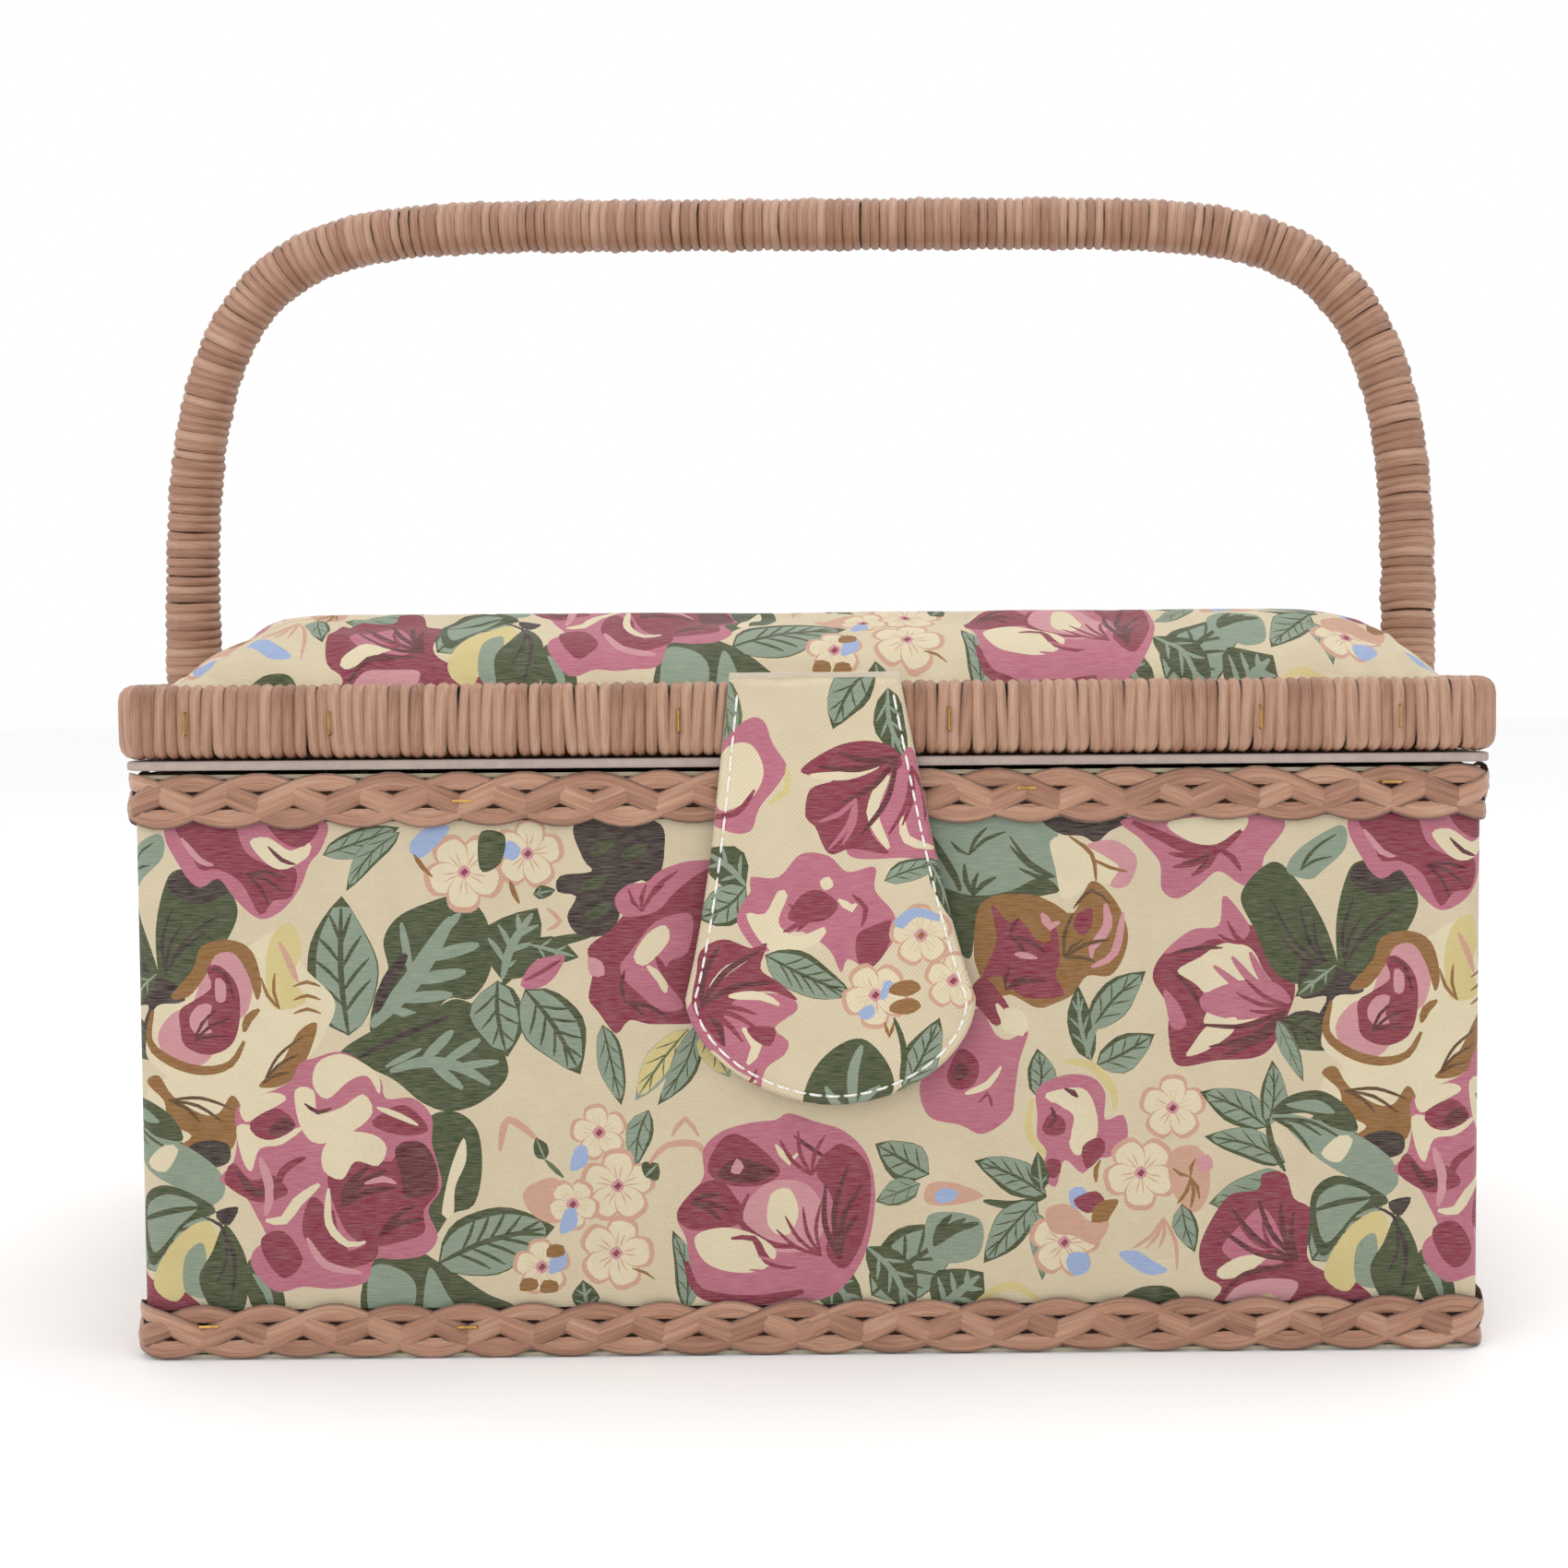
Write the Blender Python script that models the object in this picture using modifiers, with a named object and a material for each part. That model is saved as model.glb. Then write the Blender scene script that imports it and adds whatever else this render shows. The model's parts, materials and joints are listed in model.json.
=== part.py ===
"""Fabric-covered sewing box with a padded, raffia-bound lid, a swing handle and two lift-out trays.

Metres, +Z up. The origin is the middle of the underside, the front of the box faces -Y.
The box stands on z = 0. Every piece is its own closed solid, and pieces that touch keep FIT between them.
"""

import math

import bmesh
import bpy
from mathutils import Vector

# Driving dimensions
BOX_WIDTH = 0.2975  # outside of the fabric, along X
BOX_DEPTH = 0.2075  # outside of the fabric, along Y
BOX_TOP = 0.1305  # where the lid rests
BOX_CORNER = 0.0045
LID_WIDTH = 0.303
LID_DEPTH = 0.213
RIM_BOTTOM = 0.1331
RIM_TOP = 0.1497
RIM_THICKNESS = 0.0070
PAD_CROWN = 0.1655
HANDLE_TOP = 0.2685  # height of the handle's centre line
HANDLE_REACH = 0.1608  # from the middle of the box to a leg's centre line
PIVOT_HEIGHT = 0.0300

# Sheet goods and clearances
FIT = 0.0003
FABRIC = 0.0008
BOARD = 0.0040
LINING = 0.0010
BRAID = 0.0017
BRAID_HEIGHT = 0.0127
RAFFIA = 0.0009

# Handle and its pivots
CANE_RADIUS = 0.0050
WRAP_RADIUS = 0.0073
LEG_START = 0.154  # above this height the legs bend into the hoop
LEG_END = PIVOT_HEIGHT - 0.013
HOOP_SQUARENESS = (7.2, 3.1)
BOLT_RADIUS = 0.0020
BOLT_HOLE = 0.0023
NUT_BORE = 0.00206

# Lid hinge
HINGE_Y = LID_DEPTH / 2 + 0.0025
HINGE_Z = BOX_TOP + 0.0011
HINGE_X = 0.0900
LEAF = 0.0008
LEAF_WIDTH = 0.0240
KNUCKLE_RADIUS = 0.0019
KNUCKLE_HALF = 0.0040
PIN_RADIUS = 0.0008
PIN_BORE = 0.0009

# Tab
TAB_X = 0.0011
TAB_LEAN = 0.0042  # the tab's lower end stands this far to the right of its top
TAB_TOP = RIM_TOP + 0.0017
TAB_SHOULDER = 0.0800
TAB_BOTTOM = 0.0565
TAB_TOP_HALF = 0.0184
TAB_SHOULDER_HALF = 0.0318
TAB_BACK_Y = -(LID_DEPTH / 2 + 2 * FIT)
TAB_AXIS = (-(LID_DEPTH / 2 + FIT), TAB_TOP + 0.0002)
SNAP_HEIGHT = 0.0760
SNAP_RADIUS = 0.0085

# Trays
TRAY_BOTTOM = 0.0805
TRAY_HEIGHT = 0.0310
TRAY_WALL = 0.0016
LEDGE_WIDTH = 0.0098
LEDGE_HEIGHT = 0.0050

# Pad and cushion
PAD_ROLL = 0.0095  # how quickly a padded top falls away at its edge
CUSHION_RISE = 0.0120


def clear_scene():
    for obj in list(bpy.data.objects):
        bpy.data.objects.remove(obj)


def collection(name):
    made = bpy.data.collections.new(name)
    bpy.context.scene.collection.children.link(made)
    return made


def material(name, colour, roughness, metallic=0.0):
    made = bpy.data.materials.new(name)
    made.use_nodes = True
    shader = made.node_tree.nodes["Principled BSDF"]
    shader.inputs["Base Color"].default_value = (*colour, 1.0)
    shader.inputs["Roughness"].default_value = roughness
    shader.inputs["Metallic"].default_value = metallic
    made.diffuse_color = (*colour, 1.0)
    return made


def empty(name, place):
    made = bpy.data.objects.new(name, None)
    made.location = place
    PARTS.objects.link(made)
    bpy.context.view_layer.update()
    return made


def add(name, data, finish, place=(0, 0, 0), turn=None, parent=None):
    """Links a new object, placed in world coordinates, to the parts."""
    obj = bpy.data.objects.new(name, data)
    PARTS.objects.link(obj)
    obj.location = place
    if turn:
        obj.rotation_euler = turn
    if finish:
        data.materials.append(finish)
    if parent:
        obj.parent = parent
        obj.matrix_parent_inverse = parent.matrix_world.inverted()
    return obj


def as_cutter(obj):
    PARTS.objects.unlink(obj)
    CUTTERS.objects.link(obj)
    obj.hide_render = True
    obj.display_type = "WIRE"
    return obj


def mesh_from(bm, name):
    mesh = bpy.data.meshes.new(name)
    bm.to_mesh(mesh)
    bm.free()
    return mesh


def block(name, low, high, finish, parent=None, corner=0.0, corner_sides=(-1, 1)):
    """A box between two corners. corner rounds its upright edges, on the Y sides that corner_sides names."""
    size = [h - l for l, h in zip(low, high)]
    middle = [(h + l) / 2 for l, h in zip(low, high)]
    bm = bmesh.new()
    bmesh.ops.create_cube(bm, size=1)
    bmesh.ops.scale(bm, vec=size, verts=bm.verts)
    if corner:
        upright = [
            e for e in bm.edges
            if abs(e.verts[0].co.z - e.verts[1].co.z) > size[2] / 2
            and math.copysign(1, e.verts[0].co.y) in corner_sides
        ]
        bmesh.ops.bevel(
            bm, geom=upright, offset=corner, offset_type="OFFSET", segments=4,
            profile=0.5, affect="EDGES",
        )
    return add(name, mesh_from(bm, name), finish, middle, parent=parent)


def rod(name, radius, start, end, finish, parent=None, sides=16):
    """A round bar from start to end."""
    start = Vector(start)
    end = Vector(end)
    bm = bmesh.new()
    bmesh.ops.create_cone(
        bm, cap_ends=True, segments=sides, radius1=radius, radius2=radius,
        depth=(end - start).length,
    )
    turn = (end - start).to_track_quat("Z", "Y").to_euler()
    obj = add(name, mesh_from(bm, name), finish, (start + end) / 2, turn, parent)
    obj.data.shade_smooth()
    obj.data.set_sharp_from_angle(angle=math.radians(40))
    return obj


def rounded_rectangle(half_x, half_y, radius, steps=5):
    """Points round a rectangle with arcs at its corners, anticlockwise."""
    points = []
    for quarter in range(4):
        side_x = 1 if quarter in (0, 3) else -1
        side_y = 1 if quarter in (0, 1) else -1
        for step in range(steps + 1):
            angle = math.pi / 2 * (quarter + step / steps)
            points.append((
                side_x * (half_x - radius) + radius * math.cos(angle),
                side_y * (half_y - radius) + radius * math.sin(angle),
            ))
    return points


def flat_solid(name, outlines, thickness, finish, place, turn=None, parent=None):
    """Outlines in a plane, the second and later ones being holes, thickened both ways from place."""
    curve = bpy.data.curves.new(name, "CURVE")
    curve.dimensions = "2D"
    curve.fill_mode = "BOTH"
    curve.extrude = thickness / 2
    for outline in outlines:
        spline = curve.splines.new("POLY")
        spline.points.add(len(outline) - 1)
        for point, (x, y) in zip(spline.points, outline):
            point.co = (x, y, 0, 1)
        spline.use_cyclic_u = True
    return add(name, curve, finish, place, turn, parent)


def frame_ring(name, half_x, half_y, wall, bottom, top, radius, finish, parent=None):
    """A rectangular ring with round corners."""
    outlines = [
        rounded_rectangle(half_x, half_y, radius),
        rounded_rectangle(half_x - wall, half_y - wall, max(radius - wall, 0.0005)),
    ]
    return flat_solid(name, outlines, top - bottom, finish, (0, 0, (bottom + top) / 2), parent=parent)


def sheet_panel(name, half_x, half_y, bottom, top, radius, finish, parent=None):
    outline = rounded_rectangle(half_x, half_y, radius)
    return flat_solid(name, [outline], top - bottom, finish, (0, 0, (bottom + top) / 2), parent=parent)


def as_mesh(obj):
    """Turns a curve object into a mesh object in the same place, its caps welded."""
    bpy.context.view_layer.update()
    graph = bpy.context.evaluated_depsgraph_get()
    mesh = bpy.data.meshes.new_from_object(obj.evaluated_get(graph))
    bm = bmesh.new()
    bm.from_mesh(mesh)
    bmesh.ops.remove_doubles(bm, verts=bm.verts, dist=1e-6)
    bmesh.ops.recalc_face_normals(bm, faces=bm.faces)
    bm.to_mesh(mesh)
    bm.free()
    name, parent, world = obj.name, obj.parent, obj.matrix_world.copy()
    bpy.data.objects.remove(obj)
    made = add(name, mesh, None, parent=parent)
    made.matrix_world = world
    return made


def combine(obj, other, operation="DIFFERENCE"):
    """Cuts other from obj, or joins it on, with a Boolean modifier."""
    modifier = obj.modifiers.new(operation.title(), "BOOLEAN")
    modifier.operation = operation
    modifier.solver = "EXACT"
    modifier.object = as_cutter(other)
    return obj


def bore(obj, radius, start, end, sides=16):
    cutter = rod(obj.name + "_bore", radius, start, end, None, sides=sides)
    return combine(obj, cutter)


def tube_along(name, points, radius, finish, parent=None, resolution=2):
    curve = bpy.data.curves.new(name, "CURVE")
    curve.dimensions = "3D"
    curve.bevel_depth = radius
    curve.bevel_resolution = resolution
    curve.use_fill_caps = True
    spline = curve.splines.new("POLY")
    spline.points.add(len(points) - 1)
    for point, co in zip(spline.points, points):
        point.co = (*co, 1)
    return add(name, curve, finish, parent=parent)


def base_and_walls():
    """The board carcass, from the underside up."""
    half_x = BOX_WIDTH / 2 - FABRIC - FIT
    half_y = BOX_DEPTH / 2 - FABRIC - FIT
    bottom = 0.0010 + FIT
    top = BOX_TOP - LINING
    inner_x = half_x - BOARD
    inner_y = half_y - BOARD
    sheet_panel("base_cover", BOX_WIDTH / 2, BOX_DEPTH / 2, 0, 0.0010, BOX_CORNER, CARD)
    block("base_board", (FIT - inner_x, FIT - inner_y, bottom),
          (inner_x - FIT, inner_y - FIT, bottom + BOARD), WOOD)
    round_corner = BOX_CORNER - FABRIC - FIT
    block("front_board", (-half_x, -half_y, bottom), (half_x, -inner_y, top), WOOD,
          corner=round_corner, corner_sides=(-1,))
    block("back_board", (-half_x, inner_y, bottom), (half_x, half_y, top), WOOD,
          corner=round_corner, corner_sides=(1,))
    for side, name in ((-1, "left_board"), (1, "right_board")):
        near, far = sorted((side * inner_x, side * half_x))
        board = block(name, (near, FIT - inner_y, bottom), (far, inner_y - FIT, top), WOOD)
        bore(board, BOLT_HOLE, pivot_point(side, inner_x - 0.005), pivot_point(side, half_x + 0.005))


def pivot_point(side, x):
    return (side * x, 0, PIVOT_HEIGHT)


def covers_and_linings():
    """The printed cover round the walls, and the plain lining inside."""
    cover = as_mesh(frame_ring(
        "outer_cover", BOX_WIDTH / 2, BOX_DEPTH / 2, FABRIC, 0.0010 + FIT, BOX_TOP - 0.0007, BOX_CORNER, PRINT))
    lining_x = BOX_WIDTH / 2 - FABRIC - BOARD - 2 * FIT
    lining_y = BOX_DEPTH / 2 - FABRIC - BOARD - 2 * FIT
    floor = 0.0010 + BOARD + 2 * FIT
    lining = as_mesh(frame_ring(
        "wall_lining", lining_x, lining_y, LINING, floor, BOX_TOP - LINING, 0.0015, LINEN))
    for side in (-1, 1):
        reach = (pivot_point(side, lining_x - 0.005), pivot_point(side, BOX_WIDTH / 2 + 0.005))
        bore(cover, BOLT_HOLE, *reach)
        bore(lining, BOLT_HOLE, *reach)
    inside_x = lining_x - LINING - FIT
    inside_y = lining_y - LINING - FIT
    sheet_panel("floor_lining", inside_x, inside_y, floor, floor + FABRIC, 0.0012, LINEN)
    for side, name in ((-1, "ledge_front"), (1, "ledge_back")):
        near, far = sorted((side * (inside_y - LEDGE_WIDTH), side * inside_y))
        block(name, (-inside_x, near, TRAY_BOTTOM - FIT - LEDGE_HEIGHT),
              (inside_x, far, TRAY_BOTTOM - FIT), LINEN)


def braids():
    """The plaited raffia round the top and the foot of the walls."""
    half_x = BOX_WIDTH / 2 + FIT + BRAID
    half_y = BOX_DEPTH / 2 + FIT + BRAID
    radius = BOX_CORNER + FIT + BRAID
    frame_ring("lower_braid", half_x, half_y, BRAID, 0, BRAID_HEIGHT, radius, STRAW)
    frame_ring("upper_braid", half_x, half_y, BRAID, BOX_TOP - BRAID_HEIGHT, BOX_TOP, radius, STRAW)


def edge_rise(distance):
    """0 at a padded top's edge, and nearly 1 well inside it."""
    return 1 - math.exp(-distance / PAD_ROLL)


def domed_grid(half_x, half_y, edge_z, rise, across=28, along=20):
    """A bmesh grid whose points stand higher the further they are from its edges, and lie closer near them."""
    bm = bmesh.new()
    bmesh.ops.create_grid(bm, x_segments=across, y_segments=along, size=1)
    for vert in bm.verts:
        x = math.sin(vert.co.x * math.pi / 2) * half_x
        y = math.sin(vert.co.y * math.pi / 2) * half_y
        height = edge_rise(half_x - abs(x)) * edge_rise(half_y - abs(y))
        vert.co = (x, y, edge_z + rise * height)
    return bm


def with_skirt(bm, z):
    """Extrudes the grid's border straight to height z."""
    border = [e for e in bm.edges if e.is_boundary]
    made = bmesh.ops.extrude_edge_only(bm, edges=border)["geom"]
    for vert in made:
        if isinstance(vert, bmesh.types.BMVert):
            vert.co.z = z
    return bm


def domed_solid(name, half_x, half_y, edge_z, rise, base_z, finish, parent, centre=(0, 0), across=20, along=16):
    bm = with_skirt(domed_grid(half_x, half_y, edge_z, rise, across, along), base_z)
    bmesh.ops.holes_fill(bm, edges=[e for e in bm.edges if e.is_boundary])
    bmesh.ops.recalc_face_normals(bm, faces=bm.faces)
    obj = add(name, mesh_from(bm, name), finish, (*centre, 0), parent=parent)
    obj.data.shade_smooth()
    obj.data.set_sharp_from_angle(angle=math.radians(40))
    return obj


def lid_structure(lid):
    """Boards, padding and the bound rim."""
    lip_x = BOX_WIDTH / 2 + BRAID
    lip_y = BOX_DEPTH / 2 + BRAID
    sheet_panel("lid_lining_board", lip_x, lip_y, BOX_TOP + FIT, RIM_BOTTOM - FIT, 0.0060, LINEN, lid)
    half_x = LID_WIDTH / 2
    half_y = LID_DEPTH / 2
    frame_ring(
        "rim_strip", half_x - RAFFIA - FIT, half_y - RAFFIA - FIT, RIM_THICKNESS - 2 * (RAFFIA + FIT),
        RIM_BOTTOM + RAFFIA + FIT, RIM_TOP - RAFFIA - FIT, 0.0068, WOOD, lid)
    wrap = as_mesh(frame_ring(
        "rim_wrap", half_x, half_y, RIM_THICKNESS, RIM_BOTTOM, RIM_TOP, 0.0080, STRAW, lid))
    hollow = as_mesh(frame_ring(
        "rim_wrap_hollow", half_x - RAFFIA, half_y - RAFFIA, RIM_THICKNESS + 0.004,
        RIM_BOTTOM + RAFFIA, RIM_TOP - RAFFIA, 0.0071, None))
    combine(wrap, hollow)

    inner_x = half_x - RIM_THICKNESS - FIT
    inner_y = half_y - RIM_THICKNESS - FIT
    board_top = RIM_BOTTOM + BOARD
    sheet_panel("lid_board", inner_x, inner_y, RIM_BOTTOM, board_top, 0.0020, WOOD, lid)
    edge_z = RIM_TOP - FABRIC
    cover_mesh = with_skirt(domed_grid(inner_x, inner_y, edge_z, PAD_CROWN - edge_z), board_top + FIT)
    cover = add("lid_cover", mesh_from(cover_mesh, "lid_cover"), PRINT, parent=lid)
    cover.data.shade_smooth()
    skin = cover.modifiers.new("Skin", "SOLIDIFY")
    skin.thickness = LINING
    skin.offset = -1
    under = LINING + FIT
    domed_solid("lid_foam", inner_x - under, inner_y - under, edge_z - under, PAD_CROWN - edge_z,
                board_top + FIT, FOAM, lid, across=24, along=18)


def lid_inside(lid):
    """What is fixed under the lid: a pin cushion and an elastic-topped pocket."""
    under = BOX_TOP
    domed_solid("pin_cushion", 0.046, 0.036, under - 0.0040, 0.0040 - CUSHION_RISE, under,
                PRINT, lid, centre=(-0.074, -0.004))
    domed_solid("lid_pocket", 0.058, 0.040, under - 0.0010, -0.0040, under, LINEN, lid, centre=(0.066, 0.004))
    block("pocket_elastic", (0.010, -0.0445, under - 0.0036), (0.122, -0.0370, under), LINEN, lid)


def hinge_leaf(name, x, plate_y, span, web, knuckles, parent):
    """A hinge's plate over the heights in span, with knuckles joined on by webs and bored for the pin.

    web is (low z, high z, far y): each knuckle's web runs from the plate's back to far y between those heights.
    """
    leaf = block(name, (x - LEAF_WIDTH / 2, plate_y, span[0]), (x + LEAF_WIDTH / 2, plate_y + LEAF, span[1]),
                 BRASS, parent)
    low_z, high_z, far_y = web
    for index, (start, end) in enumerate(knuckles):
        bridge = block(f"{name}_web_{index}", (x + start, plate_y + 0.0001, low_z),
                       (x + end, far_y, high_z), None)
        combine(leaf, bridge, "UNION")
        knuckle = rod(f"{name}_knuckle_{index}", KNUCKLE_RADIUS, (x + start, HINGE_Y, HINGE_Z),
                      (x + end, HINGE_Y, HINGE_Z), None)
        combine(leaf, knuckle, "UNION")
    reach = LEAF_WIDTH / 2 + 0.002
    bore(leaf, PIN_BORE, (x - reach, HINGE_Y, HINGE_Z), (x + reach, HINGE_Y, HINGE_Z))
    return leaf


def leaf_screws(leaf, name, x, z, plate_y, parent):
    """Two round-headed screws through a leaf, each head lying on it."""
    for index, offset in enumerate((-0.0070, 0.0070)):
        place = x + offset
        bore(leaf, 0.0011, (place, plate_y - 0.002, z), (place, plate_y + LEAF + 0.002, z), sides=12)
        outer = plate_y + LEAF
        screw = rod(f"{name}_{index + 1}", 0.0019, (place, outer + FIT / 3, z), (place, outer + 0.0009, z),
                    BRASS, parent, sides=12)
        shank = rod(f"{name}_shank_{index}", 0.0008, (place, plate_y + FIT / 3, z),
                    (place, outer + 0.0006, z), None, sides=12)
        combine(screw, shank, "UNION")


def hinges(lid):
    """Two small butt hinges on the back: one leaf over the braid, one on the rim."""
    braid_back = BOX_DEPTH / 2 + FIT + BRAID
    rim_back = LID_DEPTH / 2
    outer_knuckles = [(-LEAF_WIDTH / 2, -KNUCKLE_HALF - FIT), (KNUCKLE_HALF + FIT, LEAF_WIDTH / 2)]
    middle_knuckle = [(-KNUCKLE_HALF, KNUCKLE_HALF)]
    for side, word in ((-1, "left"), (1, "right")):
        x = side * HINGE_X
        lower = hinge_leaf(f"hinge_box_leaf_{word}", x, braid_back + FIT, (BOX_TOP - 0.0120, HINGE_Z - 0.0014),
                           (HINGE_Z - 0.0026, HINGE_Z - 0.0015, HINGE_Y), outer_knuckles, None)
        leaf_screws(lower, f"hinge_box_screw_{word}", x, BOX_TOP - 0.0068, braid_back + FIT, None)
        clear_of_knuckles = HINGE_Z + KNUCKLE_RADIUS + FIT
        upper = hinge_leaf(f"hinge_lid_leaf_{word}", x, rim_back + FIT, (clear_of_knuckles, RIM_TOP - 0.0030),
                           (HINGE_Z + 0.0010, clear_of_knuckles + FIT, rim_back + FIT + LEAF - 0.0001),
                           middle_knuckle, lid)
        leaf_screws(upper, f"hinge_lid_screw_{word}", x, RIM_TOP - 0.0075, rim_back + FIT, lid)
        reach = LEAF_WIDTH / 2
        rod(f"hinge_pin_{word}", PIN_RADIUS, (x - reach, HINGE_Y, HINGE_Z),
            (x + reach, HINGE_Y, HINGE_Z), BRASS)


def hoop_points(leg_end):
    """The handle's centre line: straight legs and a squared arch, at even steps."""
    power_x, power_z = HOOP_SQUARENESS
    rise = HANDLE_TOP - LEG_START
    fine = [Vector((-HANDLE_REACH, 0, leg_end))]
    steps = 400
    for step in range(steps + 1):
        angle = math.pi * step / steps
        x = -math.copysign(abs(math.cos(angle)) ** (2 / power_x), math.cos(angle)) * HANDLE_REACH
        z = LEG_START + rise * abs(math.sin(angle)) ** (2 / power_z)
        fine.append(Vector((x, 0, z)))
    fine.append(Vector((HANDLE_REACH, 0, leg_end)))
    return even_points(fine, 0.009)


def even_points(line, spacing):
    """The same line with its points about spacing apart."""
    lengths = [0.0]
    for a, b in zip(line, line[1:]):
        lengths.append(lengths[-1] + (b - a).length)
    count = round(lengths[-1] / spacing)
    points = []
    index = 0
    for step in range(count + 1):
        target = lengths[-1] * step / count
        while index < len(line) - 2 and lengths[index + 1] < target:
            index += 1
        share = (target - lengths[index]) / (lengths[index + 1] - lengths[index])
        points.append(line[index].lerp(line[index + 1], share))
    return points


def handle_hoop(handle):
    """A bent cane, and the raffia wound round it as one sleeve."""
    line = hoop_points(LEG_END)
    longer = hoop_points(LEG_END - 0.006)
    cane = as_mesh(tube_along("handle_cane", line, CANE_RADIUS, CANE, handle))
    wrap = as_mesh(tube_along("handle_wrap", line, WRAP_RADIUS, STRAW, handle))
    hollow = as_mesh(tube_along("handle_wrap_hollow", longer, CANE_RADIUS + FIT, None))
    combine(wrap, hollow)
    for side in (-1, 1):
        reach = (pivot_point(side, HANDLE_REACH - 0.012), pivot_point(side, HANDLE_REACH + 0.012))
        bore(cane, BOLT_HOLE, *reach)
        bore(wrap, BOLT_HOLE, *reach)


def pivots(pivot):
    """A bolt at each side, with a spacer outside the wall and a nut inside it."""
    wall = BOX_WIDTH / 2
    leg_in = HANDLE_REACH - WRAP_RADIUS
    leg_out = HANDLE_REACH + WRAP_RADIUS
    inside = wall - FABRIC - BOARD - LINING - 2 * FIT
    for side, word in ((-1, "left"), (1, "right")):
        bolt = rod(f"pivot_bolt_{word}", BOLT_RADIUS, pivot_point(side, inside - 0.0050),
                   pivot_point(side, leg_out + 0.0010), BRASS, pivot)
        head = rod(f"pivot_head_{word}", 0.0055, pivot_point(side, leg_out + FIT),
                   pivot_point(side, leg_out + 0.0024), None, sides=20)
        combine(bolt, head, "UNION")
        spacer = rod(f"pivot_spacer_{word}", 0.0052, pivot_point(side, wall + FIT),
                     pivot_point(side, leg_in - FIT), BRASS, pivot, sides=20)
        bore(spacer, BOLT_HOLE, pivot_point(side, wall - 0.002), pivot_point(side, leg_in + 0.002))
        nut = rod(f"pivot_nut_{word}", 0.0042, pivot_point(side, inside - 0.0042),
                  pivot_point(side, inside - FIT), BRASS, pivot, sides=6)
        bore(nut, NUT_BORE, pivot_point(side, inside - 0.008), pivot_point(side, inside + 0.002))


def tab_outline(inset=0.0):
    """The tab seen from the front, as (x, z) from its top centre: sides that flare, and a round foot."""
    steps = 8
    side = []
    for step in range(steps + 1):
        share = step / steps
        half = TAB_TOP_HALF + (TAB_SHOULDER_HALF - TAB_TOP_HALF) * (0.8 * share + 0.2 * share ** 4)
        side.append((half - inset, (TAB_SHOULDER - TAB_TOP) * share))
    for step in range(1, steps + 1):
        angle = math.pi / 2 * step / steps
        half = (TAB_SHOULDER_HALF - inset) * math.cos(angle) ** 1.08
        drop = (TAB_SHOULDER - TAB_BOTTOM - inset) * math.sin(angle) ** 1.08
        side.append((half, TAB_SHOULDER - TAB_TOP - drop))
    right = [(x, z) for x, z in side]
    left = [(-x, z) for x, z in reversed(side[:-1])]
    span = TAB_TOP - TAB_BOTTOM
    return [(x - TAB_LEAN * z / span, z) for x, z in right + left]


def tab_plies(tab):
    """Backing, wadding and printed face, with the snap's plate set in the backing."""
    upright = (math.pi / 2, 0, 0)
    snap_x = TAB_X + TAB_LEAN * (TAB_TOP - SNAP_HEIGHT) / (TAB_TOP - TAB_BOTTOM)
    layers = (("tab_backing", 0.0007, LINEN), ("tab_wadding", 0.0010, FOAM), ("tab_face", 0.0008, PRINT))
    back = TAB_BACK_Y
    for name, thickness, finish in layers:
        middle = back - thickness / 2
        ply = flat_solid(name, [tab_outline()], thickness, finish, (TAB_X, middle, TAB_TOP), upright, tab)
        if name == "tab_backing":
            bore(as_mesh(ply), SNAP_RADIUS + FIT, (snap_x, back - 0.003, SNAP_HEIGHT),
                 (snap_x, back + 0.003, SNAP_HEIGHT), sides=24)
        back -= thickness + FIT
    rod("tab_snap", SNAP_RADIUS, (snap_x, TAB_BACK_Y + 0.0002, SNAP_HEIGHT),
        (snap_x, TAB_BACK_Y - 0.0008, SNAP_HEIGHT), STEEL, tab, sides=24)
    rod("wall_snap", SNAP_RADIUS + 0.0005, (snap_x, -BOX_DEPTH / 2 - FIT, SNAP_HEIGHT),
        (snap_x, TAB_BACK_Y + 0.0005, SNAP_HEIGHT), STEEL, sides=24)


def tab_root(lid):
    """The end of the tab that lies over the rim and is held between rim and pad."""
    front = -LID_DEPTH / 2
    half = TAB_TOP_HALF - FIT
    block("tab_root", (TAB_X - half, front + FIT, RIM_TOP + FIT),
          (TAB_X + half, front + RIM_THICKNESS - FIT, RIM_TOP + 0.0027), PRINT, lid)


def tray_pockets(low_x, high_x, low_y, high_y):
    """The compartments as (x, x, y, y): a long one in front, and a two by two grid behind it."""
    front_share = 0.30
    inner = (low_x + TRAY_WALL, high_x - TRAY_WALL, low_y + TRAY_WALL, high_y - TRAY_WALL)
    split_y = inner[2] + (inner[3] - inner[2]) * front_share
    middle_x = (inner[0] + inner[1]) / 2
    middle_y = (split_y + inner[3]) / 2
    half = TRAY_WALL / 2
    pockets = [(inner[0], inner[1], inner[2], split_y - half)]
    for x0, x1 in ((inner[0], middle_x - half), (middle_x + half, inner[1])):
        for y0, y1 in ((split_y + half, middle_y - half), (middle_y + half, inner[3])):
            pockets.append((x0, x1, y0, y1))
    return pockets


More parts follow.
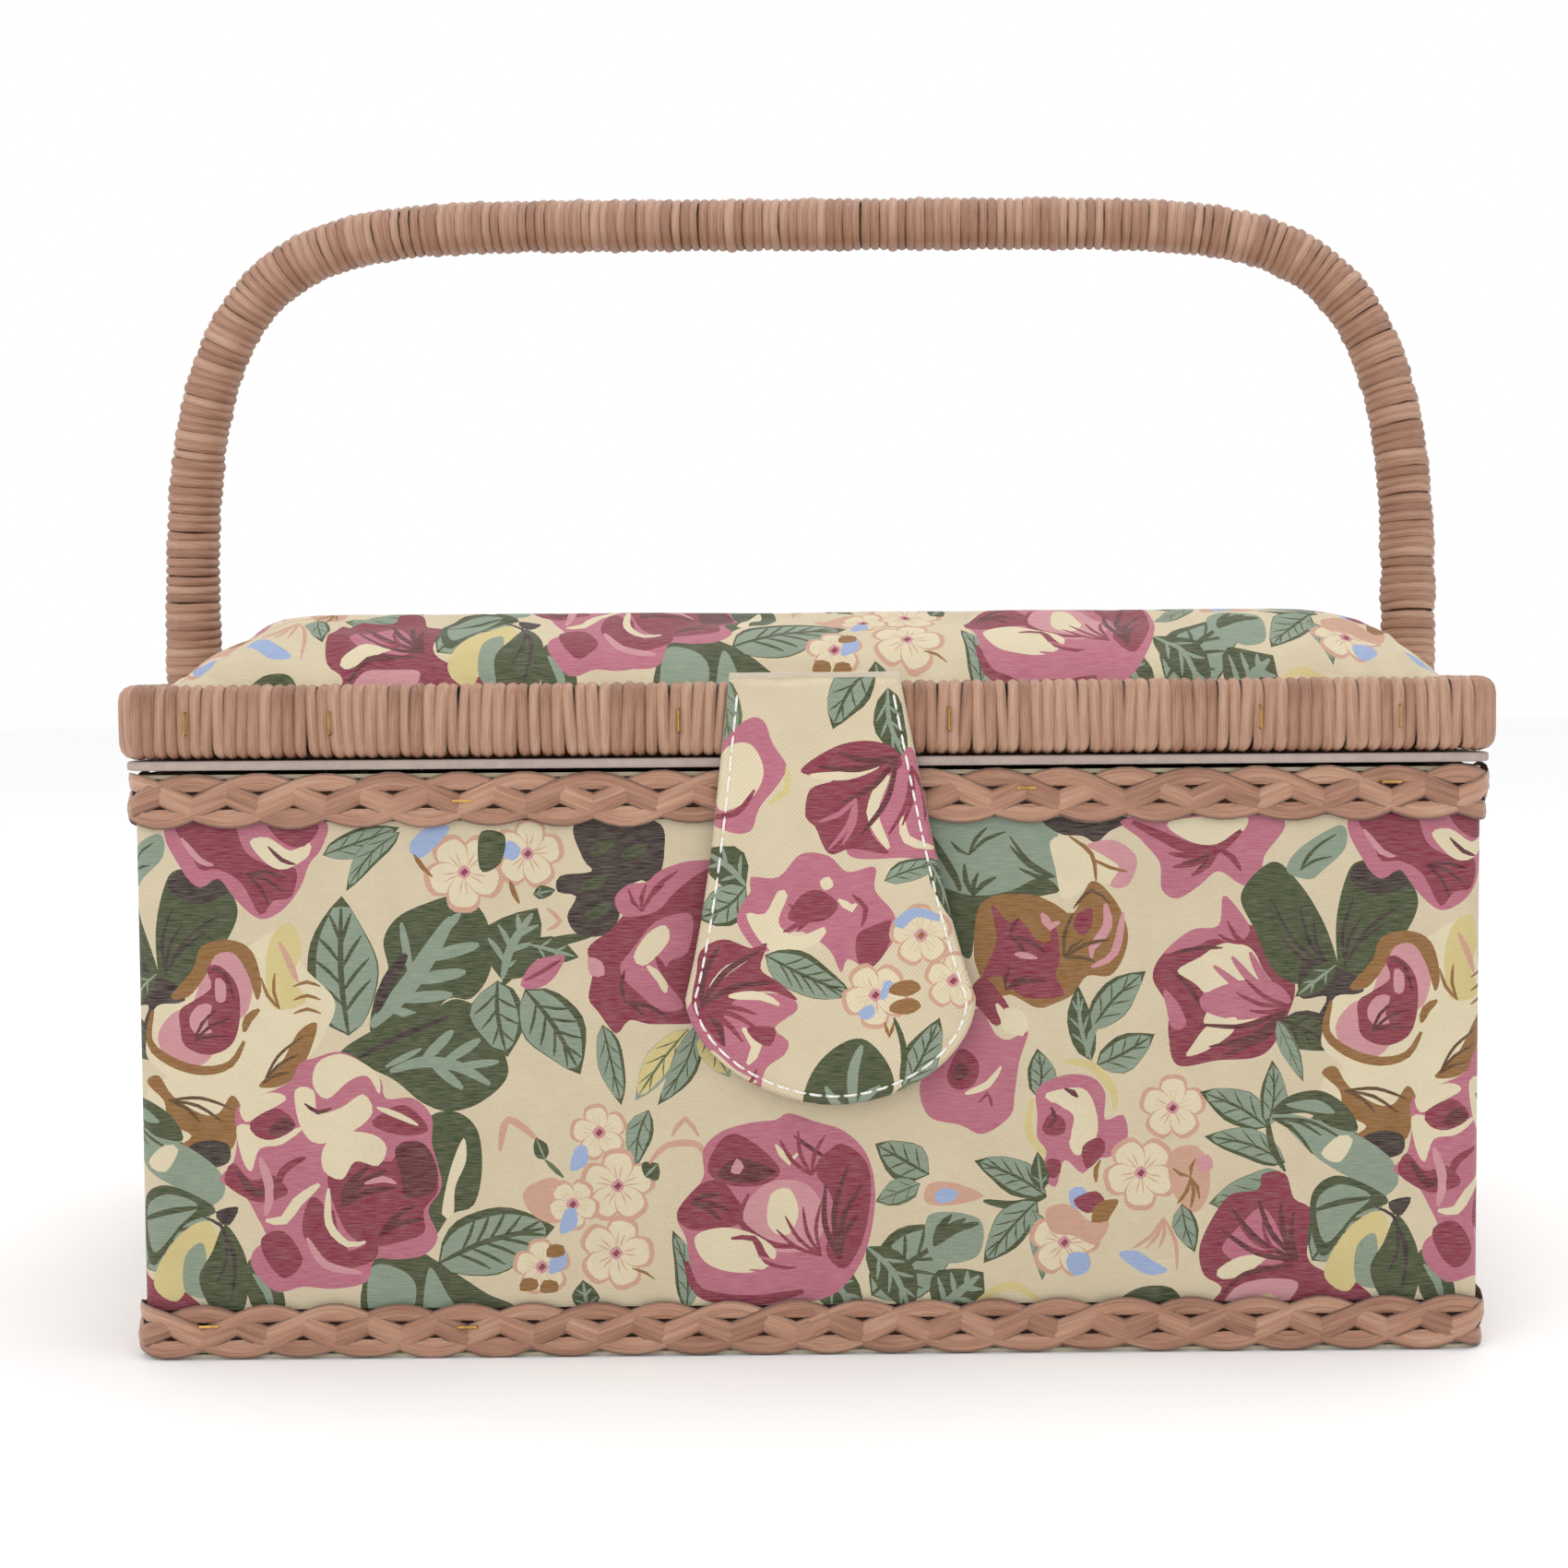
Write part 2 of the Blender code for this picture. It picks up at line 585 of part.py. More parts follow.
def tray(name, low_x, high_x, parent):
    """An open moulded tray with its compartments cut from above."""
    reach_y = BOX_DEPTH / 2 - FABRIC - BOARD - LINING - 2 * FIT - 0.0011
    top = TRAY_BOTTOM + TRAY_HEIGHT
    body = block(name, (low_x, -reach_y, TRAY_BOTTOM), (high_x, reach_y, top), MOULDED, parent, corner=0.0045)
    for index, (x0, x1, y0, y1) in enumerate(tray_pockets(low_x, high_x, -reach_y, reach_y)):
        cutter = block(f"{name}_pocket_{index}", (x0, y0, TRAY_BOTTOM + TRAY_WALL),
                       (x1, y1, top + 0.010), None, corner=0.0030)
        combine(body, cutter)


clear_scene()
PARTS = collection("sewing_box")
CUTTERS = collection("cutters")

PRINT = material("printed_cotton", (0.80, 0.71, 0.55), 0.85)
LINEN = material("plain_cotton", (0.78, 0.72, 0.66), 0.90)
STRAW = material("raffia", (0.62, 0.40, 0.29), 0.45)
WOOD = material("fibreboard", (0.45, 0.33, 0.22), 0.80)
CARD = material("base_card", (0.70, 0.66, 0.58), 0.85)
FOAM = material("foam", (0.88, 0.87, 0.80), 0.95)
CANE = material("cane", (0.60, 0.45, 0.28), 0.60)
BRASS = material("brass", (0.75, 0.55, 0.25), 0.30, 1.0)
STEEL = material("snap_steel", (0.70, 0.70, 0.68), 0.28, 1.0)
MOULDED = material("tray_plastic", (0.90, 0.89, 0.86), 0.40)

LID_AXIS = empty("lid_axis", (0, HINGE_Y, HINGE_Z))
TAB_BEND = empty("tab_axis", (TAB_X, *TAB_AXIS))
PIVOT_AXIS = empty("handle_axis", (0, 0, PIVOT_HEIGHT))
TRAY_LIFT = empty("tray_lift", (0, 0, TRAY_BOTTOM))

base_and_walls()
covers_and_linings()
braids()
lid_structure(LID_AXIS)
lid_inside(LID_AXIS)
hinges(LID_AXIS)
handle_hoop(PIVOT_AXIS)
pivots(PIVOT_AXIS)
tab_plies(TAB_BEND)
tab_root(LID_AXIS)
INSIDE_HALF = BOX_WIDTH / 2 - FABRIC - BOARD - LINING - 2 * FIT
tray("tray_left", 0.0011 - INSIDE_HALF, -0.0006, TRAY_LIFT)
tray("tray_right", 0.0006, INSIDE_HALF - 0.0011, TRAY_LIFT)
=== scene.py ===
"""Looks of a fabric-covered sewing box: printed cloth, raffia, padding, trays and fittings round its packed frame."""

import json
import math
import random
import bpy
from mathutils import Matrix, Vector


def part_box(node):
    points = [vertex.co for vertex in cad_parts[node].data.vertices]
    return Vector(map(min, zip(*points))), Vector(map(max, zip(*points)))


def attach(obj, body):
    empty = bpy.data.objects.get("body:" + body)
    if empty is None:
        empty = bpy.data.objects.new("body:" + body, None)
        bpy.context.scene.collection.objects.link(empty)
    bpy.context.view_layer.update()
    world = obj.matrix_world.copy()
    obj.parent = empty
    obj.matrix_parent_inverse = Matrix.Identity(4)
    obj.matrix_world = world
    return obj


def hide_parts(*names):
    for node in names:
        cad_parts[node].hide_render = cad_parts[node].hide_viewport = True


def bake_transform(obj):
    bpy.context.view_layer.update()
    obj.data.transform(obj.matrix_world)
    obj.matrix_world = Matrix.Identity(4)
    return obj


bl_info = {
    "name": "Sewing Box Looks",
    "version": (1, 0, 0),
    "blender": (4, 5, 0),
    "location": "View3D > Sidebar > Sewing Box",
    "description": "Builds the cloth, raffia, padding and fittings of a sewing box round its frame",
    "category": "Object",
}

import bmesh
import bpy
from bpy.props import FloatProperty, FloatVectorProperty, PointerProperty
from mathutils import Matrix, Vector, geometry, noise
from mathutils.bvhtree import BVHTree

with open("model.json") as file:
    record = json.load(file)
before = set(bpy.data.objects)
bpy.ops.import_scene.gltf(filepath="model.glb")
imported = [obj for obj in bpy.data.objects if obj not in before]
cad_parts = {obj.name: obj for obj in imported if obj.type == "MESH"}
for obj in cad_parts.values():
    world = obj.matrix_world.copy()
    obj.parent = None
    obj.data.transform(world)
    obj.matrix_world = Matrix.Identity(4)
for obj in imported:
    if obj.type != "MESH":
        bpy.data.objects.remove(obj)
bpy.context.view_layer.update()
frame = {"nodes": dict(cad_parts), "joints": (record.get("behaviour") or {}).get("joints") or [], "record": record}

MM = 0.001


def span(node):
    low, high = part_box(node)
    return Vector(low), Vector(high)


# Places that the frame gives
COVER_LOW, COVER_HIGH = span("outer_cover")
RIM_LOW, RIM_HIGH = span("rim_wrap")
WRAP_LOW, WRAP_HIGH = span("handle_wrap")
PAD_LOW, PAD_HIGH = span("lid_cover")
PIVOT_Z = next(joint["pos_m"][2] for joint in frame["joints"] if joint["name"] == "handle_swing")
TAB_LOW, TAB_HIGH = span("tab_face")
TAB_BACK_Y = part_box("tab_backing")[1][1]

COVER_CORNER = 4.5 * MM
RIM_CORNER = 5 * MM
RIM_DEPTH = 7 * MM
WRAP_RADIUS = (WRAP_HIGH.y - WRAP_LOW.y) / 2
HOOP_REACH = WRAP_HIGH.x - WRAP_RADIUS
HOOP_TOP = WRAP_HIGH.z - WRAP_RADIUS
HOOP_START = 154 * MM
HOOP_END = WRAP_LOW.z
HOOP_SQUARENESS = (7.2, 3.1)
STAPLE_RADIUS = 0.32 * MM
STAPLE_PROUD = 0.8 * MM

# The tab, whose lower end stands to the right of its top
TAB_TOP_Z = TAB_HIGH.z
TAB_LEAN = 4.2 * MM
TAB_MIDDLE = 1.1 * MM
TAB_SHOULDER_Z = 80 * MM
TAB_TOP_HALF = 18.4 * MM
TAB_SHOULDER_HALF = 31.8 * MM
TAB_SEAM = 2.2 * MM  # from the edge to the stitches
TAB_OVER = 4.3 * MM  # how much of it lies over the rim
TAB_BEND = 2.2 * MM  # radius of the bend over the rim
TAB_BEND_BACK = 1.6 * MM


def linear(red, green, blue):
    """A linear colour from display values of 0 to 255."""
    shares = (red / 255, green / 255, blue / 255)
    return tuple(s / 12.92 if s <= 0.04045 else ((s + 0.055) / 1.055) ** 2.4 for s in shares)


def colour_property(name, description, red, green, blue):
    return FloatVectorProperty(
        name=name, description=description, subtype="COLOR", default=linear(red, green, blue), min=0, max=1)


def length_property(name, description, default):
    return FloatProperty(name=name, description=description, default=default, min=0, unit="LENGTH")


class StageSettings(bpy.types.PropertyGroup):
    """Where the box is seen from, and its light."""

    eye: FloatVectorProperty(
        name="Eye", description="Place of the camera", subtype="TRANSLATION", unit="LENGTH",
        default=(-0.0085, -0.5962, 0.1522))
    yaw: FloatProperty(
        name="Yaw", description="Turn of the camera to the right", unit="ROTATION", default=math.radians(0.34))
    pitch: FloatProperty(
        name="Pitch", description="How far the camera looks down", unit="ROTATION", default=math.radians(2.94))
    roll: FloatProperty(
        name="Roll", description="Tilt of the camera", unit="ROTATION", default=math.radians(-0.40))
    lens: FloatProperty(name="Lens", description="Focal length", subtype="DISTANCE_CAMERA", default=51.57, min=1)
    surround: FloatProperty(name="Surround", description="Brightness of the white surround", default=1.0, min=0)
    softbox: FloatProperty(name="Softbox", description="Watts of the large front light", default=5.5, min=0)
    top_light: FloatProperty(name="Top light", description="Watts of the light overhead", default=4.5, min=0)


class RaffiaSettings(bpy.types.PropertyGroup):
    """The wound and plaited raffia."""

    rim_pitch: length_property("Rim pitch", "From one strand on the rim to the next", 2.55 * MM)
    wrap_pitch: length_property("Handle pitch", "From one turn on the handle to the next", 2.35 * MM)
    lobe: length_property("Plait lobe", "Length of one lobe of the plait", 14.5 * MM)
    pale: colour_property("Pale straw", "The lightest strands", 204, 166, 140)
    middle: colour_property("Straw", "Most of the strands", 172, 127, 101)
    deep: colour_property("Deep straw", "The darkest strands", 126, 83, 61)
    # Colour of painted shade: the dark core and rings behind the strands take it so the gaps between strands read dark.
    gap: colour_property("Gaps", "Between the strands", 62, 36, 26)


class ClothSettings(bpy.types.PropertyGroup):
    """The printed cotton and the plain cloth."""

    lining: colour_property("Lining", "The plain cloth inside", 224, 212, 192)
    lip: colour_property("Lip", "The edge of the lid's lining", 190, 172, 164)
    thread: colour_property("Thread", "The stitches round the tab", 244, 241, 234)
    yarn: length_property("Yarn", "From one yarn of the weave to the next", 0.42 * MM)
    stitch: length_property("Stitch", "From one stitch to the next", 3.9 * MM)


class FittingSettings(bpy.types.PropertyGroup):
    """Metal, boards and trays."""

    brass: colour_property("Brass", "Hinges, bolts and staples", 196, 152, 84)
    steel: colour_property("Steel", "The magnetic snap", 190, 190, 186)
    tray: colour_property("Trays", "The moulded trays", 236, 232, 222)
    bevel: length_property("Bevel", "Radius of the metal's edges", 0.22 * MM)


SETTINGS = {
    "box_stage": StageSettings,
    "box_raffia": RaffiaSettings,
    "box_cloth": ClothSettings,
    "box_fittings": FittingSettings,
}

# ---- Materials ----


def new_material(name, roughness, metallic=0.0, sockets=()):
    """A Principled material, with its tree and shader."""
    material = bpy.data.materials.new(name)
    material.use_nodes = True
    shader = material.node_tree.nodes["Principled BSDF"]
    shader.inputs["Roughness"].default_value = roughness
    shader.inputs["Metallic"].default_value = metallic
    for socket, value in sockets:
        shader.inputs[socket].default_value = value
    return material, material.node_tree, shader


def add_node(tree, kind, inputs=(), **settings):
    """A node whose inputs are values or other nodes' sockets."""
    made = tree.nodes.new("ShaderNode" + kind)
    for key, value in settings.items():
        setattr(made, key, value)
    for key, value in dict(inputs).items():
        if isinstance(value, bpy.types.NodeSocket):
            tree.links.new(value, made.inputs[key])
        else:
            made.inputs[key].default_value = value
    return made


def coordinates(tree, source="Object", scale=(1, 1, 1), turn=0.0):
    """Object or UV coordinates in metres, stretched by scale."""
    place = add_node(tree, "TexCoord").outputs[source]
    return add_node(tree, "Mapping", {
        "Vector": place, "Scale": scale, "Rotation": (0, 0, turn)}).outputs["Vector"]


def noise_node(tree, vector, scale, detail=4.0, roughness=0.55):
    return add_node(tree, "TexNoise", {
        "Vector": vector, "Scale": scale, "Detail": detail, "Roughness": roughness}).outputs["Fac"]


def ramp(tree, factor, stops):
    """A colour ramp over (position, colour) stops."""
    made = add_node(tree, "ValToRGB", {"Fac": factor})
    elements = made.color_ramp.elements
    while len(elements) < len(stops):
        elements.new(0.5)
    for element, (position, colour) in zip(elements, stops):
        element.position = position
        element.color = (*colour, 1)
    return made.outputs["Color"]


def grey(value):
    return (value, value, value)


def mix_colour(tree, factor, first, second, blend="MIX"):
    made = add_node(tree, "Mix", data_type="RGBA", blend_type=blend)
    for socket, value in ((made.inputs[0], factor), (made.inputs[6], first), (made.inputs[7], second)):
        if isinstance(value, bpy.types.NodeSocket):
            tree.links.new(value, socket)
        elif socket.type == "RGBA":
            socket.default_value = (*value, 1)
        else:
            socket.default_value = value
    return made.outputs[2]


def calculate(tree, operation, first, second=0.5):
    return add_node(tree, "Math", {0: first, 1: second}, operation=operation).outputs[0]


def bump(tree, shader, height, distance, strength=1.0):
    made = add_node(tree, "Bump", {"Height": height, "Distance": distance, "Strength": strength})
    tree.links.new(made.outputs["Normal"], shader.inputs["Normal"])


def weave_height(tree, vector, yarn):
    """Crossing yarns: 0 in the gaps and 1 on the crowns. vector is in metres."""
    bands = []
    for direction in ("X", "Y"):
        wave = add_node(tree, "TexWave", {
            "Vector": vector, "Scale": 1 / yarn / 3.1831, "Distortion": 0.3, "Detail": 1.0},
            bands_direction=direction, wave_profile="SIN")
        bands.append(wave.outputs["Fac"])
    return calculate(tree, "MULTIPLY", bands[0], bands[1])


def twill_height(tree, vector, yarn):
    """Diagonal ribs."""
    turned = add_node(tree, "Mapping", {"Vector": vector, "Rotation": (0, 0, math.radians(38))}).outputs["Vector"]
    return add_node(tree, "TexWave", {
        "Vector": turned, "Scale": 1 / yarn / 3.1831, "Distortion": 0.4, "Detail": 1.0},
        bands_direction="X", wave_profile="SIN").outputs["Fac"]


def cloth_material(name, yarn, colour=None, source="UV", twill=False, crease=0.00012):
    """Cotton: a weave with slightly uneven yarns. Without a colour, it takes the print's attribute."""
    material, tree, shader = new_material(name, 0.82, sockets=(("Sheen Weight", 0.12), ("Specular IOR Level", 0.25)))
    vector = coordinates(tree, source)
    weave = twill_height(tree, vector, yarn * 1.6) if twill else weave_height(tree, vector, yarn)
    slub = noise_node(tree, coordinates(tree, source, (1, 14, 1)), 260, 3)
    mottle = noise_node(tree, vector, 90, 3)
    base = colour or add_node(tree, "Attribute", attribute_name="print").outputs["Color"]
    # Painted shade in the weave: the base colour is multiplied by 0.70 in the gaps between yarns, rising to 0.86 on
    # their crowns.
    shade = calculate(tree, "MULTIPLY_ADD", weave, 0.16)
    shade.node.inputs[2].default_value = 0.70
    weave_shaded = mix_colour(tree, 1.0, base, add_node(tree, "CombineColor", {
        "Red": shade, "Green": shade, "Blue": shade}).outputs[0], "MULTIPLY")
    soft = mix_colour(tree, ramp(tree, slub, ((0.35, grey(0.0)), (0.8, grey(0.16)))), weave_shaded, linear(238, 226, 200))
    aged = mix_colour(tree, ramp(tree, mottle, ((0.3, grey(0.0)), (0.75, grey(0.10)))), soft, linear(150, 122, 96),
                      "MULTIPLY")
    tree.links.new(aged, shader.inputs["Base Color"])
    drift = noise_node(tree, vector, 28, 2)
    height = calculate(tree, "ADD", calculate(tree, "MULTIPLY", weave, 0.35), calculate(
        tree, "MULTIPLY", drift, crease / 0.00012))
    bump(tree, shader, height, 0.00022, 0.7)
    return material


def raffia_material(name, raffia, length, warm=0.0, gloss=0.42):
    """Flat raffia whose fibres run along UV u over a strand of this length; each strand has its own tone, and painted
    shade darkens its edges and back.
    """
    material, tree, shader = new_material(
        name, gloss, sockets=(("Specular IOR Level", 0.55), ("Coat Weight", 0.18), ("Coat Roughness", 0.25)))
    across = add_node(tree, "TexCoord").outputs["UV"]
    fibres = add_node(tree, "Mapping", {"Vector": across, "Scale": (length / (9 * MM), 40, 1)}).outputs["Vector"]
    own = add_node(tree, "NewGeometry").outputs["Random Per Island"]
    moved = add_node(tree, "VectorMath", {0: fibres, 1: own}, operation="ADD").outputs[0]
    fine = noise_node(tree, moved, 1.0, 4, 0.6)
    broad = noise_node(tree, add_node(tree, "Mapping", {
        "Vector": moved, "Scale": (0.5, 0.22, 1)}).outputs["Vector"], 1.0, 2)
    tone = calculate(tree, "ADD", calculate(tree, "MULTIPLY", own, 0.24), calculate(
        tree, "MULTIPLY", calculate(tree, "ADD", fine, broad), 0.48))
    warmed = [tuple(c * (1 - warm * s) for c, s in zip(colour, (0.0, 0.7, 1.0)))
              for colour in (raffia.deep, raffia.middle, raffia.pale)]
    colour = ramp(tree, tone, ((0.34, warmed[0]), (0.58, warmed[1]), (0.86, warmed[2])))
    streak = ramp(tree, noise_node(tree, add_node(tree, "Mapping", {
        "Vector": moved, "Scale": (0.25, 0.8, 1)}).outputs["Vector"], 1.7, 2), (
            (0.60, grey(0.0)), (0.74, grey(0.55))))
    colour = mix_colour(tree, streak, colour, tuple(c * 0.45 for c in raffia.deep))
    # Painted shade: the strand's colour is darkened to 0.30 at its edges and on its back, where neighbouring strands
    # shade it.
    side = add_node(tree, "SeparateXYZ", {"Vector": across}).outputs["Y"]
    painted_edge_shade = ramp(tree, side, ((0.0, grey(0.30)), (0.09, grey(1.0)), (0.57, grey(1.0)), (0.66, grey(0.30))))
    colour = mix_colour(tree, 1.0, colour, painted_edge_shade, "MULTIPLY")
    tree.links.new(colour, shader.inputs["Base Color"])
    tree.links.new(ramp(tree, fine, ((0.3, grey(gloss + 0.15)), (0.7, grey(gloss - 0.10)))),
                   shader.inputs["Roughness"])
    bump(tree, shader, fine, 0.00034, 0.9)
    return material


def board_material(name, light, dark, scale=900):
    """Pressed board: short fibres in two tones."""
    material, tree, shader = new_material(name, 0.85, sockets=(("Specular IOR Level", 0.2),))
    fibres = noise_node(tree, coordinates(tree, "Object", (1, 1, 3)), scale, 6, 0.7)
    blotch = noise_node(tree, coordinates(tree, "Object"), 60, 3)
    colour = mix_colour(tree, blotch, ramp(tree, fibres, ((0.3, dark), (0.7, light))), light, "SOFT_LIGHT")
    tree.links.new(colour, shader.inputs["Base Color"])
    bump(tree, shader, fibres, 0.0001, 0.6)
    return material


def metal_material(name, colour, roughness):
    """Stamped metal: fine scratches, and dull patches."""
    material, tree, shader = new_material(name, roughness, 1.0)
    patches = noise_node(tree, coordinates(tree, "Object"), 420, 5, 0.65)
    scratches = noise_node(tree, coordinates(tree, "Object", (18, 1, 1)), 500, 3)
    dull = tuple(c * 0.55 for c in colour)
    tree.links.new(ramp(tree, patches, ((0.30, dull), (0.55, tuple(colour)))), shader.inputs["Base Color"])
    tree.links.new(ramp(tree, patches, ((0.3, grey(roughness + 0.22)), (0.6, grey(roughness)))),
                   shader.inputs["Roughness"])
    bump(tree, shader, scratches, 0.00003, 0.5)
    return material


def plastic_material(name, colour):
    """Moulded plastic: a faint orange-peel skin."""
    material, tree, shader = new_material(
        name, 0.36, sockets=(("Subsurface Weight", 0.12), ("Subsurface Scale", 0.002)))
    peel = noise_node(tree, coordinates(tree, "Object"), 700, 2)
    scuff = noise_node(tree, coordinates(tree, "Object"), 45, 5, 0.7)
    tree.links.new(ramp(tree, scuff, ((0.35, tuple(c * 0.93 for c in colour)), (0.6, tuple(colour)))),
                   shader.inputs["Base Color"])
    tree.links.new(ramp(tree, scuff, ((0.4, grey(0.46)), (0.65, grey(0.32)))), shader.inputs["Roughness"])
    bump(tree, shader, peel, 0.00003, 0.4)
    return material


# ---- Pieces ----


def as_piece(name, mesh, material, body="root", replaces=(), smooth=40):
    """Links a finished mesh as a piece of the box that rides on a body and stands for its CAD nodes."""
    obj = bpy.data.objects.new(name, mesh)
    bpy.context.scene.collection.objects.link(obj)
    if material:
        mesh.materials.clear()
        mesh.materials.append(material)
    mesh.shade_smooth()
    if smooth < 180:
        mesh.set_sharp_from_angle(angle=math.radians(smooth))
    if body:
        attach(obj, body)
    if replaces:
        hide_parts(*replaces)
    return obj


def mesh_of(bm, name):
    mesh = bpy.data.meshes.new(name)
    bm.to_mesh(mesh)
    bm.free()
    return mesh


def welded_copy(node):
    """A bmesh of a CAD node with its loose triangles merged."""
    bm = bmesh.new()
    bm.from_mesh(frame["nodes"][node].data)
    bmesh.ops.remove_doubles(bm, verts=bm.verts, dist=1e-6)
    return bm


def sharp_edges(bm, degrees=30):
    limit = math.radians(degrees)
    return [e for e in bm.edges if len(e.link_faces) == 2 and e.calc_face_angle(0) > limit]


def softened(node, name, radius, material, body, segments=2, uneven=0.0):
    """A copy of a CAD node with its edges rounded, which stands for it."""
    bm = welded_copy(node)
    bmesh.ops.dissolve_limit(
        bm, angle_limit=math.radians(1), use_dissolve_boundaries=False, verts=bm.verts, edges=bm.edges,
        delimit={"NORMAL"})
    bmesh.ops.bevel(
        bm, geom=sharp_edges(bm), offset=radius, offset_type="OFFSET", segments=segments, profile=0.5,
        affect="EDGES", clamp_overlap=True, material=-1)
    if uneven:
        for vert in bm.verts:
            vert.co += vert.normal * uneven * noise.noise(vert.co * 60)
    return as_piece(name, mesh_of(bm, name), material, body, (node,))


def flat_profile(half_width, thickness, crown=0.6):
    """A strand's cross-section: a flat back and a crowned face. x is across and +y is outwards."""
    return [(-half_width, 0), (-half_width * 0.62, thickness * crown), (0, thickness),
            (half_width * 0.62, thickness * crown), (half_width, 0), (0, -thickness * 0.35)]


def sweep(name, profile, strands, cyclic=False, twist="MINIMUM"):
    """A mesh of strands. Each is a list of (place, width factor, tilt), and the profile follows it."""
    section = bpy.data.curves.new(name + "_section", "CURVE")
    section.dimensions = "2D"
    line = section.splines.new("POLY")
    line.points.add(len(profile) - 1)
    for point, (x, y) in zip(line.points, profile):
        point.co = (x, y, 0, 1)
    line.use_cyclic_u = True
    section_object = bpy.data.objects.new(name + "_section", section)
    curve = bpy.data.curves.new(name, "CURVE")
    curve.dimensions = "3D"
    curve.twist_mode = twist
    curve.bevel_mode = "OBJECT"
    curve.bevel_object = section_object
    curve.use_fill_caps = not cyclic
    for strand in strands:
        line = curve.splines.new("POLY")
        line.points.add(len(strand) - 1)
        for point, (place, factor, tilt) in zip(line.points, strand):
            point.co = (*place, 1)
            point.radius = factor
            point.tilt = tilt
        line.use_cyclic_u = cyclic
        line.use_smooth = True
    holder = bpy.data.objects.new(name + "_curve", curve)
    bpy.context.scene.collection.objects.link(holder)
    bpy.context.scene.collection.objects.link(section_object)
    bpy.context.view_layer.update()
    mesh = bpy.data.meshes.new_from_object(holder.evaluated_get(bpy.context.evaluated_depsgraph_get()))
    for obj in (holder, section_object):
        data = obj.data
        bpy.data.objects.remove(obj)
        bpy.data.curves.remove(data)
    mesh.name = name
    return mesh


def perimeter(half_x, half_y, radius):
    return 4 * (half_x + half_y) - (8 - 2 * math.pi) * radius


def around(half_x, half_y, radius, along):
    """The point and the outward direction a distance along a rounded rectangle, rightwards from its front middle."""
    straights = (2 * (half_x - radius), 2 * (half_y - radius)) * 2
    arc = math.pi / 2 * radius
    along = (along + half_x - radius) % (sum(straights) + 4 * arc)
    place = Vector((radius - half_x, -half_y, 0))
    quarter = Matrix.Rotation(math.pi / 2, 3, "Z")
    forward = Vector((1, 0, 0))
    for length in straights:
        out = Vector((forward.y, -forward.x, 0))
        if along <= length:
            return place + forward * along, out
        along -= length
        centre = place + forward * length - out * radius
        if along <= arc:
            turned = Matrix.Rotation(along / radius, 3, "Z") @ out
            return centre + turned * radius, turned
        along -= arc
        place = centre + (quarter @ out) * radius
        forward = quarter @ forward
    return place, out


def hoop_line():
    """The handle's centre line as evenly spaced (place, direction) pairs, from foot to foot."""
    power_x, power_z = HOOP_SQUARENESS
    rise = HOOP_TOP - HOOP_START
    steps = 600
    line = [Vector((-HOOP_REACH, 0, HOOP_END))]
    for step in range(steps + 1):
        angle = math.pi * step / steps
        x = -math.copysign(abs(math.cos(angle)) ** (2 / power_x), math.cos(angle)) * HOOP_REACH
        line.append(Vector((x, 0, HOOP_START + rise * abs(math.sin(angle)) ** (2 / power_z))))
    line.append(Vector((HOOP_REACH, 0, HOOP_END)))
    return line


def spaced(line, spacing):
    """Points on a line about spacing apart, each with its direction."""
    lengths = [0.0]
    for a, b in zip(line, line[1:]):
        lengths.append(lengths[-1] + (b - a).length)
    count = round(lengths[-1] / spacing)
    found = []
    index = 0
    for step in range(count + 1):
        target = lengths[-1] * step / count
        while index < len(line) - 2 and lengths[index + 1] < target:
            index += 1
        gap = max(lengths[index + 1] - lengths[index], 1e-9)
        a, b = line[index], line[index + 1]
        found.append((a.lerp(b, (target - lengths[index]) / gap), (b - a).normalized()))
    return found


class BOX_OT_stage(bpy.types.Operator):
    """Floor, white surround, soft lights and camera"""

    bl_idname = "sewing_box.stage"
    bl_label = "Stage"

    def execute(self, context):
        stage = context.scene.box_stage
        scene = context.scene
        world = bpy.data.worlds.new("white_surround")
        world.use_nodes = True
        background = world.node_tree.nodes["Background"]
        background.inputs["Color"].default_value = (1, 1, 1, 1)
        background.inputs["Strength"].default_value = stage.surround
        scene.world = world
        scene.view_settings.view_transform = "Standard"
        scene.view_settings.look = "None"

        bm = bmesh.new()
        bmesh.ops.create_circle(bm, cap_ends=True, segments=64, radius=6)
        floor = bpy.data.objects.new("floor", mesh_of(bm, "floor"))
        floor_paint, tree, shader = new_material("pale_floor", 0.9, sockets=(("Specular IOR Level", 0.1),))
        speckle = noise_node(tree, coordinates(tree, "Object"), 4, 2)
        tree.links.new(ramp(tree, speckle, ((0.2, grey(0.955)), (0.8, grey(0.97)))), shader.inputs["Base Color"])
        floor.data.materials.append(floor_paint)
        scene.collection.objects.link(floor)

        for name, place, width, watts in (
                ("softbox", (-0.75, -1.25, 1.05), 1.1, stage.softbox),
                ("top_light", (0.25, 0.15, 1.35), 0.9, stage.top_light)):
            lamp = bpy.data.lights.new(name, "AREA")
            lamp.shape = "SQUARE"
            lamp.size = width
            lamp.energy = watts
            light = bpy.data.objects.new(name, lamp)
            light.location = place
            light.rotation_euler = (Vector((0, 0, 0.12)) - Vector(place)).to_track_quat("-Z", "Y").to_euler()
            scene.collection.objects.link(light)

        lens = bpy.data.cameras.new("camera")
        lens.sensor_width = 36
        lens.lens = stage.lens
        lens.clip_start = 0.01
        lens.clip_end = 50
        camera = bpy.data.objects.new("camera", lens)
        camera.matrix_world = (
            Matrix.Translation(stage.eye) @ Matrix.Rotation(-stage.yaw, 4, "Z")
            @ Matrix.Rotation(math.pi / 2 - stage.pitch, 4, "X") @ Matrix.Rotation(stage.roll, 4, "Z"))
        scene.collection.objects.link(camera)
        scene.camera = camera
        return {"FINISHED"}


